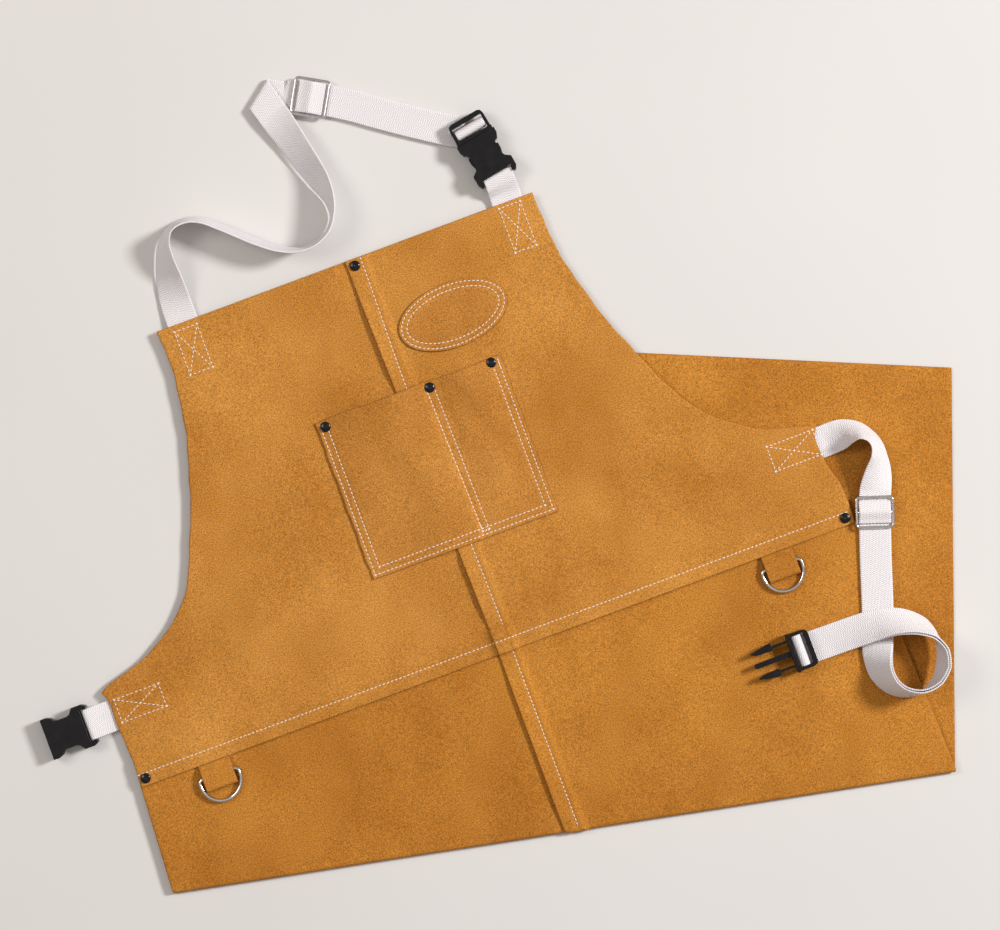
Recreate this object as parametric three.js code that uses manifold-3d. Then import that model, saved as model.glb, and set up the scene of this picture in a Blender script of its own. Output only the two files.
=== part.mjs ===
// Welding apron of split leather, laid flat on its back with the lower skirt folded under.
// Millimetres. +X runs across the apron, +Y runs from the skirt to the bib, +Z is up.
// The origin is on the floor, below the crossing of the centre lap and the waist seam.
import * as THREE from "three";
import { mergeVertices } from "three/addons/utils/BufferGeometryUtils.js";
import Module from "manifold-3d";

// ---- driving dimensions -------------------------------------------------------------
const GAP = 0.3; // clearance between neighbouring pieces
const LEATHER = 1.8; // thickness of every leather panel
const WEB_WIDTH = 25.4;
const WEB_THICKNESS = 1.3;
const WEB_LAYER = WEB_THICKNESS + 0.8; // spacing of two layers of webbing lying together

const BIB_HEIGHT = 326.5; // waist seam to the top edge of the bib
const BIB_TOP_HALF = 159.5;
const WAIST_HALF = 303.5;
const BIB_LEAN = 6; // the bib lies slightly skewed: sideways shift of its top edge
const SKIRT_SPREAD = 6.5; // how far the skirt has widened where it is folded
const SKIRT_LENGTH = 542; // waist seam to hem, unfolded
const HEM_HALF = 292;
const FOLD_DROP = 159; // waist seam to the fold, on the centre line
const FOLD_ANGLE = THREE.MathUtils.degToRad(-11.56);
const WAIST_LAP_BELOW = 10; // bib edge below the waist seam
const WAIST_LAP_ABOVE = 8; // skirt edge above the waist seam, under the bib
const CENTRE_LAP = 14; // width of the lap down the middle

const POCKET_LEFT = -73;
const POCKET_RIGHT = 84;
const POCKET_BOTTOM = 81;
const POCKET_TOP = 214;
const POCKET_ROOM = 5; // free height inside a pocket compartment
const POCKET_BAGS = [[-60, 17], [31, 70]]; // the two compartments, left and right edge
const POCKET_HEM = 10; // sewn margin below each compartment

const PATCH_CENTRE = [60.2, 257.1];
const PATCH_HALF = [45.4, 25.8];
const PATCH_TURN = THREE.MathUtils.degToRad(2);

const RIVET_CAP = 8.3;
const RIVET_POST = 2.4;
const RIVET_FLANGE = 0.9;

const TAB_WIDTH = 25.8;
const TAB_LEATHER = 1.4;
const TAB_LENGTH = 22.2;
const TAB_PLACES = [-242.8, 235.6];
const RING_WIRE = 3;
const RING_WIDTH = 36;
const RING_HEIGHT = 23;
const RING_BAR_DROP = 11; // bib edge to the straight bar of the D-ring

const SLIDE_ACROSS = 31.4;
const SLIDE_BAR = 2.4;
const SLIDE_RISE = WEB_THICKNESS / 2 + GAP + SLIDE_BAR / 2; // strap middle to slide middle

const HEAD_LENGTH = 18.1; // plug head, from its rear bar to its front collar
const HEAD_HALF_WIDTH = 15.35;
const HEAD_HALF_HEIGHT = 3.2;
const COLLAR_LENGTH = 2.6;
const PRONG_LENGTH = 31;
const CAVITY_HALF_WIDTH = 12.5;
const CAVITY_HALF_HEIGHT = 2.9;
const SOCKET_HALF_HEIGHT = 5;
const SOCKET_BAR = 3;
const SOCKET_BAR_PLACE = PRONG_LENGTH + 5;
const SOCKET_LENGTH = 38.4;

const LOW = LEATHER + WEB_THICKNESS + 2 * GAP; // underside of the upper leather
const LEVEL = LEATHER + GAP; // rise from one overlapping panel to the next
const SHEET_TOP = LOW + LEATHER; // top of a single upper panel
const TALL = 60; // taller than any stack of panels

const leather = () => new THREE.MeshStandardMaterial({ color: 0xc8873f, roughness: 0.9 });
const webbing = () => new THREE.MeshStandardMaterial({ color: 0xefebee, roughness: 0.85 });
const plastic = () => new THREE.MeshStandardMaterial({ color: 0x222026, roughness: 0.4 });
const nickel = () => new THREE.MeshStandardMaterial({ color: 0xc9c9cc, roughness: 0.2, metalness: 1 });
const blackMetal = () => new THREE.MeshStandardMaterial({ color: 0x111114, roughness: 0.3, metalness: 0.6 });

// ---- solids ---------------------------------------------------------------------------
const wasm = await Module();
wasm.setup();

function solid(geometry) {
  geometry.deleteAttribute("normal");
  geometry.deleteAttribute("uv");
  const merged = mergeVertices(geometry, 1e-4);
  return new wasm.Manifold(
    new wasm.Mesh({
      numProp: 3,
      vertProperties: new Float32Array(merged.attributes.position.array),
      triVerts: new Uint32Array(merged.index.array),
    }),
  );
}

function join(geometries) {
  return geometries.map(solid).reduce((whole, piece) => whole.add(piece));
}

function geometryOf(body) {
  const mesh = body.getMesh();
  const geometry = new THREE.BufferGeometry();
  geometry.setAttribute("position", new THREE.BufferAttribute(mesh.vertProperties, 3));
  geometry.setIndex(new THREE.BufferAttribute(mesh.triVerts, 1));
  return geometry;
}

// A flat plate with the outline in plan, between two heights.
function plate(outline, bottom, top) {
  const shape = new THREE.Shape(outline.map(([x, y]) => new THREE.Vector2(x, y)));
  const geometry = new THREE.ExtrudeGeometry(shape, { depth: top - bottom, bevelEnabled: false });
  return geometry.translate(0, 0, bottom);
}

function block(left, right, front, back, bottom, top) {
  return new THREE.BoxGeometry(right - left, back - front, top - bottom).translate(
    (left + right) / 2,
    (front + back) / 2,
    (bottom + top) / 2,
  );
}

// A prism along X whose section is drawn in Y and Z.
function prismAlongX(section, left, right) {
  const shape = new THREE.Shape(section.map(([y, z]) => new THREE.Vector2(y, z)));
  const geometry = new THREE.ExtrudeGeometry(shape, { depth: right - left, bevelEnabled: false });
  const axes = new THREE.Matrix4().makeBasis(
    new THREE.Vector3(0, 1, 0),
    new THREE.Vector3(0, 0, 1),
    new THREE.Vector3(1, 0, 0),
  );
  return geometry.applyMatrix4(axes).translate(left, 0, 0);
}

// A cylinder that stands on end between two heights.
function post(x, y, diameter, bottom, top) {
  const geometry = new THREE.CylinderGeometry(diameter / 2, diameter / 2, top - bottom, 16);
  return geometry.rotateX(Math.PI / 2).translate(x, y, (bottom + top) / 2);
}

// ---- leather panels -------------------------------------------------------------------
const panelHeight = (level, part = 0) => LOW + level * LEVEL + part * LEATHER;
const foldHeightAt = (x) => -FOLD_DROP + Math.tan(FOLD_ANGLE) * x;
const WIDE = 500;

// One level of a stepped panel: a plate over a region, or a wall that joins two levels.
function step(left, right, front, back, lowest, highest = lowest) {
  return block(left, right, front, back, panelHeight(lowest), panelHeight(highest, 1));
}

// The bib leans sideways in proportion to the height above the waist.
function lean(body) {
  return body.warp((vertex) => {
    vertex[0] -= (BIB_LEAN * vertex[1]) / BIB_HEIGHT;
  });
}

// The side of the bib, from the waist up round the armhole to the top corner.
function bibSide() {
  const curve = new THREE.SplineCurve(
    [
      [WAIST_HALF, 74],
      [258, 89],
      [218, 120],
      [190, 177],
      [170, 236],
      [BIB_TOP_HALF + 1, 285],
      [BIB_TOP_HALF, BIB_HEIGHT],
    ].map(([x, y]) => new THREE.Vector2(x, y)),
  );
  return curve.getPoints(24).map((point) => [point.x, point.y]);
}

function bibOutline(sign, inner) {
  const side = [[WAIST_HALF, -WAIST_LAP_BELOW], ...bibSide()].map(([x, y]) => [sign * x, y]);
  const outline = [[inner, -WAIST_LAP_BELOW], ...side, [inner, BIB_HEIGHT]];
  return sign > 0 ? outline : outline.reverse();
}

const lapUnder = WAIST_LAP_ABOVE + GAP; // where the bib steps down behind the skirt edge
const lapUnderEnd = lapUnder + LEATHER;
const stripEnd = CENTRE_LAP + GAP; // where the upper lap steps down beside the lower one
const stripWallEnd = stripEnd + LEATHER;
const crossEnd = stripWallEnd + GAP;
const crossWallEnd = crossEnd + LEATHER;
const crossTop = lapUnderEnd + GAP + LEATHER;

function bibLeft(holes) {
  const bottom = -WAIST_LAP_BELOW;
  const levels = join([
    step(-WIDE, CENTRE_LAP, lapUnder, BIB_HEIGHT, 0),
    step(-WIDE, CENTRE_LAP, lapUnder, lapUnderEnd, 0, 1),
    step(-WIDE, -GAP, bottom, lapUnderEnd, 1),
    step(-GAP - LEATHER, -GAP, bottom, lapUnderEnd, 1, 2),
    step(-GAP - LEATHER, CENTRE_LAP, bottom, lapUnderEnd, 2),
    step(-GAP - LEATHER, CENTRE_LAP, lapUnder, lapUnderEnd, 0, 2),
  ]);
  const outline = solid(plate(bibOutline(-1, CENTRE_LAP), 0, TALL));
  return geometryOf(lean(outline.intersect(levels)).subtract(holes));
}

function bibRight(holes) {
  const bottom = -WAIST_LAP_BELOW;
  const top = BIB_HEIGHT;
  const levels = join([
    step(stripEnd, WIDE, lapUnder, top, 0),
    step(crossEnd, WIDE, lapUnder, lapUnderEnd, 0, 1),
    step(crossEnd, WIDE, bottom, lapUnderEnd, 1),
    step(0, stripWallEnd, lapUnderEnd + GAP, top, 1),
    step(stripEnd, stripWallEnd, lapUnderEnd + GAP, top, 0, 1),
    step(crossEnd, crossWallEnd, bottom, crossTop, 1, 3),
    step(0, crossWallEnd, bottom, crossTop, 3),
    step(0, crossWallEnd, lapUnderEnd + GAP, crossTop, 1, 3),
  ]);
  const outline = solid(plate(bibOutline(1, 0), 0, TALL));
  return geometryOf(lean(outline.intersect(levels)).subtract(holes));
}

// The upper skirt hangs from the waist to the fold; its edge there stops short of the fold line.
function skirtSideAt(sign) {
  const tan = (Math.tan(FOLD_ANGLE) * sign);
  const x = WAIST_HALF + SKIRT_SPREAD;
  return [sign * x, -FOLD_DROP + tan * x];
}

const foldDirection = [Math.cos(FOLD_ANGLE), Math.sin(FOLD_ANGLE)];
const foldOutward = [Math.sin(FOLD_ANGLE), -Math.cos(FOLD_ANGLE)];
const offFold = ([x, y], distance) => [x + foldOutward[0] * distance, y + foldOutward[1] * distance];

function upperSkirtOutline(sign, inner) {
  const outline = [
    [inner, WAIST_LAP_ABOVE],
    [sign * WAIST_HALF, WAIST_LAP_ABOVE],
    offFold(skirtSideAt(sign), -GAP / 2),
    offFold([inner, foldHeightAt(inner)], -GAP / 2),
  ];
  return sign > 0 ? outline.reverse() : outline;
}

function skirtLeft(holes) {
  const panel = solid(plate(upperSkirtOutline(-1, CENTRE_LAP), LOW, SHEET_TOP));
  return geometryOf(panel.subtract(holes));
}

function skirtRight(holes) {
  const levels = join([
    step(stripEnd, WIDE, -WIDE, WAIST_LAP_ABOVE, 0),
    step(0, stripWallEnd, -WIDE, WAIST_LAP_ABOVE, 1),
    step(stripEnd, stripWallEnd, -WIDE, WAIST_LAP_ABOVE, 0, 1),
  ]);
  const outline = solid(plate(upperSkirtOutline(1, 0), 0, TALL));
  return geometryOf(outline.intersect(levels).subtract(holes));
}

// The lower skirt is drawn unfolded, below the fold line, and is then turned half a turn under.
function lowerSkirt(sign) {
  const seam = CENTRE_LAP / 2 + (sign * GAP) / 2;
  const outline = [
    offFold([seam, foldHeightAt(seam)], GAP / 2),
    offFold(skirtSideAt(sign), GAP / 2),
    [sign * HEM_HALF, -SKIRT_LENGTH],
    [seam, -SKIRT_LENGTH],
  ];
  const ordered = sign > 0 ? outline.reverse() : outline;
  return plate(ordered, LOW, SHEET_TOP).translate(0, FOLD_DROP, -SHEET_TOP / 2);
}

// ---- rivets ---------------------------------------------------------------------------
// Each rivet: name, place, and how many leather levels lie below its cap.
const RIVETS = [
  ["bib", 0.5, 320.9, 1],
  ["pocket_left", -66.3, 208.6, 1],
  ["pocket_middle", 22.5, 209.1, 1],
  ["pocket_right", 75.3, 210.6, 1],
  ["waist_left", -298.5, -4, 1],
  ["waist_right", 297, -4, 1],
];
const RIVET_HOLE = RIVET_POST + 2 * GAP;

function rivetHoles() {
  return join(RIVETS.map(([, x, y]) => post(x, y, RIVET_HOLE, 0, TALL)));
}

function lathe(profile, x, y) {
  const points = profile.map(([radius, z]) => new THREE.Vector2(radius, z));
  return new THREE.LatheGeometry(points, 20).rotateX(Math.PI / 2).translate(x, y, 0);
}

function rivetCap(x, y, level) {
  const seat = panelHeight(level, 1) + GAP;
  const radius = RIVET_CAP / 2;
  const foot = LOW - GAP - RIVET_FLANGE;
  return lathe(
    [
      [0, foot],
      [RIVET_POST / 2, foot],
      [RIVET_POST / 2, seat],
      [radius, seat],
      [radius, seat + 0.5],
      [radius * 0.78, seat + 1.1],
      [radius * 0.4, seat + 1.4],
      [0, seat + 1.5],
    ],
    x,
    y,
  );
}

function rivetBack(x, y) {
  const inner = RIVET_HOLE / 2;
  const outer = RIVET_CAP / 2;
  const top = LOW - GAP;
  return lathe(
    [
      [inner, top - RIVET_FLANGE],
      [outer, top - RIVET_FLANGE],
      [outer, top],
      [inner, top],
      [inner, top - RIVET_FLANGE],
    ],
    x,
    y,
  );
}

// ---- pocket, patch and tabs -----------------------------------------------------------
const POCKET_SEAT = SHEET_TOP + GAP;

function pocket(holes) {
  const landTop = POCKET_SEAT + LEATHER;
  const ceiling = SHEET_TOP + POCKET_ROOM;
  const bagFoot = POCKET_BOTTOM + POCKET_HEM;
  const strip = (left, right, bottom, top) =>
    lean(solid(block(left, right, POCKET_BOTTOM - 1, POCKET_TOP + 1, bottom, top)));
  let body = solid(block(POCKET_LEFT, POCKET_RIGHT, POCKET_BOTTOM, POCKET_TOP, POCKET_SEAT, landTop));
  const cover = strip(-GAP - LEATHER, stripWallEnd + GAP + LEATHER, landTop - 1, panelHeight(2, 1));
  const limits = solid(block(POCKET_LEFT, POCKET_RIGHT, POCKET_BOTTOM, POCKET_TOP, 0, TALL));
  body = body.add(cover.intersect(limits));
  for (const [left, right] of POCKET_BAGS) {
    const slope = 5;
    const shell = plate(
      [
        [left, POCKET_SEAT],
        [right, POCKET_SEAT],
        [right, landTop],
        [right - slope, ceiling + LEATHER],
        [left + slope, ceiling + LEATHER],
        [left, landTop],
      ],
      0,
      POCKET_TOP - bagFoot + LEATHER,
    );
    shell.rotateX(Math.PI / 2).translate(0, POCKET_TOP, 0);
    body = body.add(solid(shell));
  }
  for (const [left, right] of POCKET_BAGS) {
    const hollow = block(left + 4, right - 4, bagFoot, POCKET_TOP + 1, 0, ceiling);
    body = body.subtract(solid(hollow));
  }
  body = body.subtract(strip(-GAP, stripWallEnd + GAP, 0, panelHeight(1, 1) + GAP));
  return geometryOf(body.subtract(holes));
}

function ovalPatch() {
  const outline = [];
  const corners = 40;
  for (let i = 0; i < corners; i += 1) {
    const angle = (i * 2 * Math.PI) / corners;
    outline.push([PATCH_HALF[0] * Math.cos(angle), PATCH_HALF[1] * Math.sin(angle)]);
  }
  const geometry = plate(outline, SHEET_TOP + GAP, SHEET_TOP + GAP + LEATHER);
  return geometry.rotateZ(PATCH_TURN).translate(...PATCH_CENTRE, 0);
}

const TAB_TOP_EDGE = -WAIST_LAP_BELOW - GAP;
const TAB_FLOOR = SHEET_TOP + GAP;
const TAB_CHANNEL = RING_WIRE + 2 * GAP;
const RING_BAR_Y = -WAIST_LAP_BELOW - RING_BAR_DROP;
const RING_BAR_Z = TAB_FLOOR + TAB_LEATHER + TAB_CHANNEL / 2;

// A strip of leather folded round the bar of the D-ring, with its ends at the waist lap.
function ringTab(x) {
  const end = TAB_TOP_EDGE - TAB_LENGTH;
  const top = TAB_FLOOR + 2 * TAB_LEATHER + TAB_CHANNEL;
  const outer = [
    [end, TAB_FLOOR + TAB_LEATHER],
    [end + 1.6, TAB_FLOOR],
    [TAB_TOP_EDGE, TAB_FLOOR],
    [TAB_TOP_EDGE, TAB_FLOOR + 2 * TAB_LEATHER],
    [RING_BAR_Y + 7, top - 1],
    [RING_BAR_Y + 3, top],
    [end + 1.6, top],
    [end, top - TAB_LEATHER],
  ];
  const inner = [
    [end + TAB_LEATHER, TAB_FLOOR + TAB_LEATHER],
    [RING_BAR_Y + 5, TAB_FLOOR + TAB_LEATHER],
    [RING_BAR_Y + 5, top - TAB_LEATHER - 1.6],
    [RING_BAR_Y + 3, top - TAB_LEATHER],
    [end + TAB_LEATHER, top - TAB_LEATHER],
  ];
  const left = x - TAB_WIDTH / 2;
  const right = x + TAB_WIDTH / 2;
  const shell = solid(prismAlongX(outer, left, right));
  return geometryOf(shell.subtract(solid(prismAlongX(inner, left - 1, right + 1))));
}

// The D-ring is drawn about its straight bar: the bow reaches towards -Y.
function dRing() {
  const half = (RING_WIDTH - RING_WIRE) / 2;
  const arcDrop = RING_HEIGHT - RING_WIRE - half + RING_WIRE / 2;
  const points = [new THREE.Vector3(-half, 0, 0)];
  const corners = 16;
  for (let i = 0; i <= corners; i += 1) {
    const angle = Math.PI + (i * Math.PI) / corners;
    const y = -arcDrop + half * Math.sin(angle);
    points.push(new THREE.Vector3(half * Math.cos(angle), y, 0));
  }
  points.push(new THREE.Vector3(half, 0, 0));
  const bow = new THREE.ExtrudeGeometry(circleShape(RING_WIRE, 8), {
    extrudePath: new THREE.CatmullRomCurve3(points, false, "centripetal"),
    steps: 30,
    bevelEnabled: false,
  });
  const bar = new THREE.CylinderGeometry(RING_WIRE / 2, RING_WIRE / 2, RING_WIDTH, 12);
  return geometryOf(join([bow, bar.rotateZ(Math.PI / 2)]));
}

function circleShape(diameter, corners) {
  const points = [];
  for (let i = 0; i < corners; i += 1) {
    const angle = ((i + 0.5) * 2 * Math.PI) / corners;
    points.push(new THREE.Vector2((diameter / 2) * Math.cos(angle), (diameter / 2) * Math.sin(angle)));
  }
  return new THREE.Shape(points);
}

// ---- webbing --------------------------------------------------------------------------
// A strap follows rows of [x, y, z, tilt, across]: the middle of the strap, the angle that
// lifts its right-hand edge, and, where the strap stands on end, the direction of that edge
// in plan. lower puts it that far below the rows, as the second layer of a doubled strap.
const STRAP_FACETS = 2; // across the width, so that two twisted layers stay apart
const STRAP_STEPS = 3; // between two rows

function strap(rows, lower = 0) {
  const middles = rows.map(([x, y, z]) => new THREE.Vector3(x, y, z));
  const path = new THREE.CatmullRomCurve3(middles, false, "centripetal");
  const edges = rows.map(([, , , tilt, across], i) => {
    const lift = THREE.MathUtils.degToRad(tilt);
    const back = middles[Math.max(i - 1, 0)];
    const ahead = middles[Math.min(i + 1, rows.length - 1)];
    const heading = Math.atan2(ahead.y - back.y, ahead.x - back.x) - Math.PI / 2;
    const side = across === undefined ? heading : THREE.MathUtils.degToRad(across);
    return new THREE.Vector3(
      Math.cos(lift) * Math.cos(side),
      Math.cos(lift) * Math.sin(side),
      Math.sin(lift),
    );
  });
  const steps = (rows.length - 1) * STRAP_STEPS;
  const geometry = new THREE.BoxGeometry(1, WEB_WIDTH, WEB_THICKNESS, steps, STRAP_FACETS, 1);
  const position = geometry.attributes.position;
  for (let i = 0; i < position.count; i += 1) {
    const along = THREE.MathUtils.clamp(position.getX(i) + 0.5, 0, 1);
    const row = Math.min(Math.floor(along * (rows.length - 1)), rows.length - 2);
    const part = along * (rows.length - 1) - row;
    const edge = edges[row].clone().lerp(edges[row + 1], part).normalize();
    const tangent = path.getTangent(along);
    const face = edge.clone().cross(tangent).normalize();
    const point = path.getPoint(along);
    point.addScaledVector(edge, -position.getY(i));
    point.addScaledVector(face, position.getZ(i) - lower);
    position.setXYZ(i, point.x, point.y, point.z);
  }
  return geometry;
}

// A strap that rolls over on itself across a slanting line, from above to below.
const ROLL_PLACE = [-23.5, 474.5];
const ROLL_LINE = THREE.MathUtils.degToRad(37.9);
const ROLL_HEADING = THREE.MathUtils.degToRad(105.1);
const ROLL_RADIUS = 2;
const ROLL_TOP = 5.1;
const ROLL_BEFORE = 17;
const ROLL_AFTER = 24;

function rollPoint(along, left, high) {
  const x = along * Math.cos(ROLL_HEADING) - left * Math.sin(ROLL_HEADING);
  const y = along * Math.sin(ROLL_HEADING) + left * Math.cos(ROLL_HEADING);
  const beside = x * Math.cos(ROLL_LINE) + y * Math.sin(ROLL_LINE);
  const past = y * Math.cos(ROLL_LINE) - x * Math.sin(ROLL_LINE);
  const turn = THREE.MathUtils.clamp(past / ROLL_RADIUS, 0, Math.PI);
  const straight = past - turn * ROLL_RADIUS;
  const out = (ROLL_RADIUS + high) * Math.sin(turn) + straight * Math.cos(turn);
  return [
    ROLL_PLACE[0] + beside * Math.cos(ROLL_LINE) - out * Math.sin(ROLL_LINE),
    ROLL_PLACE[1] + beside * Math.sin(ROLL_LINE) + out * Math.cos(ROLL_LINE),
    ROLL_TOP - ROLL_RADIUS + (ROLL_RADIUS + high) * Math.cos(turn),
  ];
}

function rolledStrap() {
  const length = ROLL_BEFORE + ROLL_AFTER;
  const geometry = new THREE.BoxGeometry(length, WEB_WIDTH, WEB_THICKNESS, 30, 8, 1);
  const position = geometry.attributes.position;
  for (let i = 0; i < position.count; i += 1) {
    const along = position.getX(i) + length / 2 - ROLL_BEFORE;
    position.setXYZ(i, ...rollPoint(along, position.getY(i), position.getZ(i)));
  }
  return geometry;
}

const UNDER_BIB = LEATHER + GAP + WEB_THICKNESS / 2; // middle of webbing sewn below the bib
const ON_FLOOR = 2.9; // middle of the upper layer where the neck strap lies doubled
const ON_SKIRT = 8.4; // the same where the waist strap lies over the skirt

const NECK_RISE = [
  [-144.4, 292, UNDER_BIB, 0],
  [-144.4, 328, UNDER_BIB, 0],
  [-144.2, 343, 3.2, 8],
  [-142.5, 360, 7.2, 28],
  [-140, 377, 11.0, 50],
  [-135.5, 391, 12.4, 64],
  [-127, 399.5, 13.2, 74],
  [-114, 401.5, 13.4, 76],
  [-102, 397.5, 13.4, 76],
  [-88, 386, 13.4, 76],
  [-66, 365.5, 13.4, 76],
  [-51.5, 354.5, 13.5, 76],
  [-38, 348.5, 13.5, 77],
  [-24, 348, 13.5, 78],
  [-10.7, 353.5, 13.6, 80],
  [-2.5, 364, 13.7, 81],
  [0, 377, 12.9, 70],
  [-2.5, 394, 10.8, 48],
  [-7, 412, 9.6, 36],
  [-12, 432, 9.0, 28],
  [-16, 447, 7.2, 14],
];
const rollEntry = rollPoint(-ROLL_BEFORE, 0, 0);
const rollExit = rollPoint(ROLL_AFTER, 0, 0);
const NECK_RUN = [
  [-1, 466.8, 2.3, 0],
  [14, 459.4, ON_FLOOR, 0],
  [27, 452, ON_FLOOR, 0],
  [44, 441, ON_FLOOR, 0],
  [62, 428, ON_FLOOR, 0],
  [80, 415.4, ON_FLOOR, 0],
  [98, 403.4, ON_FLOOR, 0],
  [109, 396.3, ON_FLOOR, 0],
  [119, 391, ON_FLOOR, 0],
];
const NECK_SLIDE_ROW = 1; // the row of the run that carries the slide

const WAIST_RISE = [
  [266, 59.3, UNDER_BIB, 0],
  [285, 59.3, UNDER_BIB, 0],
  [299, 59.3, UNDER_BIB, 0],
  [306, 59.4, UNDER_BIB + 0.3, 0],
  [315.5, 59.8, 6.4, 14],
  [323.5, 60, 11.2, 40],
  [331.5, 57.5, 14.2, 58],
  [337.5, 51, 14.9, 66],
  [340.3, 43, 14.6, 64],
  [339, 33, 13.6, 54],
  [334.5, 22, 10.6, 30],
  [327, 8, ON_SKIRT, 0],
];
const WAIST_RUN = [
  [320.5, -7.7, ON_SKIRT, 0],
  [314.8, -24.5, ON_SKIRT, 0],
  [308, -44.1, ON_SKIRT, 0],
  [301.5, -64, ON_SKIRT, 0],
  [294.9, -83.7, ON_SKIRT, 0],
  [290.3, -96, 9.6, -5],
  [285.2, -107, 12.9, -20],
  [281, -118, 16.5, -38],
  [279.6, -130, 18.6, -50],
  [284, -143, 20.1, -64],
  [293.5, -151.6, 20.8, -75],
  [307, -155, 21.2, -86],
  [320, -150.5, 21.2, -98],
  [329, -140.5, 21, -106],
  [333, -128, 21, -100],
  [331.5, -115.5, 21.4, -82],
  [324.5, -105, 21.2, -62],
  [313, -97, 20.6, -46],
  [300, -92.6, 19.2, -32],
  [284, -91.4, 15.8, -15],
  [268, -91.2, 12.4, -5],
  [252, -91.2, 10.2, 0],
  [236, -91, 9.2, 0],
  [222, -90.4, 9.2, 0],
];
const WAIST_SLIDE_ROW = 0;

// A doubled stub: from below the leather, round the bar of a socket and back underneath.
// Its edge turns from the direction where it is sewn to that of the bar.
function stubRows(bar, start, heading, sewnAcross, barAcross) {
  const reach = SOCKET_BAR / 2 + GAP + WEB_THICKNESS / 2;
  const distance = Math.hypot(bar.x - start[0], bar.y - start[1]);
  const second = UNDER_BIB - WEB_LAYER + 0.05;
  const rows = [
    [0, UNDER_BIB],
    [distance - 24, UNDER_BIB],
    [distance - 14, UNDER_BIB + 1.2],
    [distance - 6, bar.z + reach - 1.6],
    [distance, bar.z + reach],
    [distance + reach * 0.72, bar.z + reach * 0.72],
    [distance + reach, bar.z],
    [distance + reach * 0.72, bar.z - reach * 0.72],
    [distance, bar.z - reach],
    [distance - 6, bar.z - reach - 0.6],
    [distance - 16, second + 0.1],
    [distance - 24, second],
    [2, second],
  ];
  const direction = [Math.cos(heading), Math.sin(heading)];
  return rows.map(([along, z]) => [
    start[0] + direction[0] * along,
    start[1] + direction[1] * along,
    z,
    0,
    along > distance - 10 ? barAcross : sewnAcross,
  ]);
}

// ---- strap slides ---------------------------------------------------------------------
// A frame with a centre bar, lying flat: X runs along the strap and Y across it.
function slideFrame(length) {
  const half = SLIDE_BAR / 2;
  const x = length / 2 - half;
  const y = SLIDE_ACROSS / 2 - half;
  const bars = [-x, 0, x].map((at) => {
    const bar = new THREE.CylinderGeometry(half, half, SLIDE_ACROSS - half, 10);
    return bar.translate(at, 0, 0);
  });
  const sides = [-y, y].map((at) => {
    const side = new THREE.CylinderGeometry(half, half, length - half, 10);
    return side.rotateZ(Math.PI / 2).translate(0, at, 0);
  });
  return geometryOf(join([...bars, ...sides]));
}

// The hump of webbing over the centre bar, in the same frame.
function slideBight(length) {
  const reach = SLIDE_BAR / 2 + GAP + WEB_THICKNESS / 2;
  const foot = -SLIDE_BAR / 2 + WEB_THICKNESS / 2 + 0.1;
  const end = length / 2 - SLIDE_BAR - 2;
  const rows = [
    [-end, 0, foot, 0],
    [-end * 0.62, 0, foot + 0.7, 0],
    [-reach * 0.8, 0, reach * 0.82, 0],
    [0, 0, reach + 0.05, 0],
    [reach * 0.8, 0, reach * 0.82, 0],
    [end * 0.62, 0, foot + 0.7, 0],
    [end, 0, foot, 0],
  ];
  return strap(rows);
}

// ---- side-release buckle --------------------------------------------------------------
// Drawn about the face of the plug collar: X points into the socket, Y across, Z up.
const SLOT_HALF_WIDTH = 13.1;
const MID_BAR = [-9.6, -6.6];
const REAR_BAR_END = -14.4;

function plugHead() {
  const tall = HEAD_HALF_HEIGHT + 1;
  const round = 3.5;
  const w = HEAD_HALF_WIDTH;
  const outline = [
    [-HEAD_LENGTH, -w + round],
    [-HEAD_LENGTH + 1.2, -w + 1],
    [-HEAD_LENGTH + round + 1, -w],
    [0, -w],
    [0, w],
    [-HEAD_LENGTH + round + 1, w],
    [-HEAD_LENGTH + 1.2, w - 1],
    [-HEAD_LENGTH, w - round],
  ];
  const frame = solid(plate(outline, -HEAD_HALF_HEIGHT, HEAD_HALF_HEIGHT));
  const [rear, front] = MID_BAR;
  const s = SLOT_HALF_WIDTH;
  const cuts = join([
    block(REAR_BAR_END, rear, -s, s, -tall, tall),
    block(front, -COLLAR_LENGTH, -s, s, -tall, tall),
    block(rear - 0.1, front + 0.1, -s, s, 1.5, tall),
    block(rear - 0.1, front + 0.1, -s, s, -tall, -1.5),
  ]);
  const collar = block(-COLLAR_LENGTH, 0, -w - 0.5, w + 0.5, -SOCKET_HALF_HEIGHT + 0.6, SOCKET_HALF_HEIGHT - 0.6);
  const tongue = plate(
    [
      [-1, -2],
      [PRONG_LENGTH - 1.5, -2],
      [PRONG_LENGTH, -1],
      [PRONG_LENGTH, 1],
      [PRONG_LENGTH - 1.5, 2],
      [-1, 2],
    ],
    -1.8,
    1.8,
  );
  return geometryOf(frame.subtract(cuts).add(join([collar, tongue])));
}

// One spring arm: a thin flexure, then a paddle with a catch that faces the collar.
const ARM_ROOT = GAP;
const ARM_FLEXURE = [9.4, 11];

function plugArm(sign) {
  const [inner, outer] = ARM_FLEXURE;
  const outline = [
    [ARM_ROOT, inner],
    [12, inner - 0.2],
    [14, inner - 1.8],
    [PRONG_LENGTH - 4, inner - 1.2],
    [PRONG_LENGTH - 0.5, inner + 0.4],
    [PRONG_LENGTH, outer - 0.4],
    [PRONG_LENGTH - 6, outer + 0.9],
    [17, outer + 2.6],
    [12.5, outer + 2.6],
    [12.2, outer],
    [ARM_ROOT, outer],
  ].map(([x, y]) => [x, sign * y]);
  return plate(sign > 0 ? outline : outline.reverse(), -2.4, 2.4);
}

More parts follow.
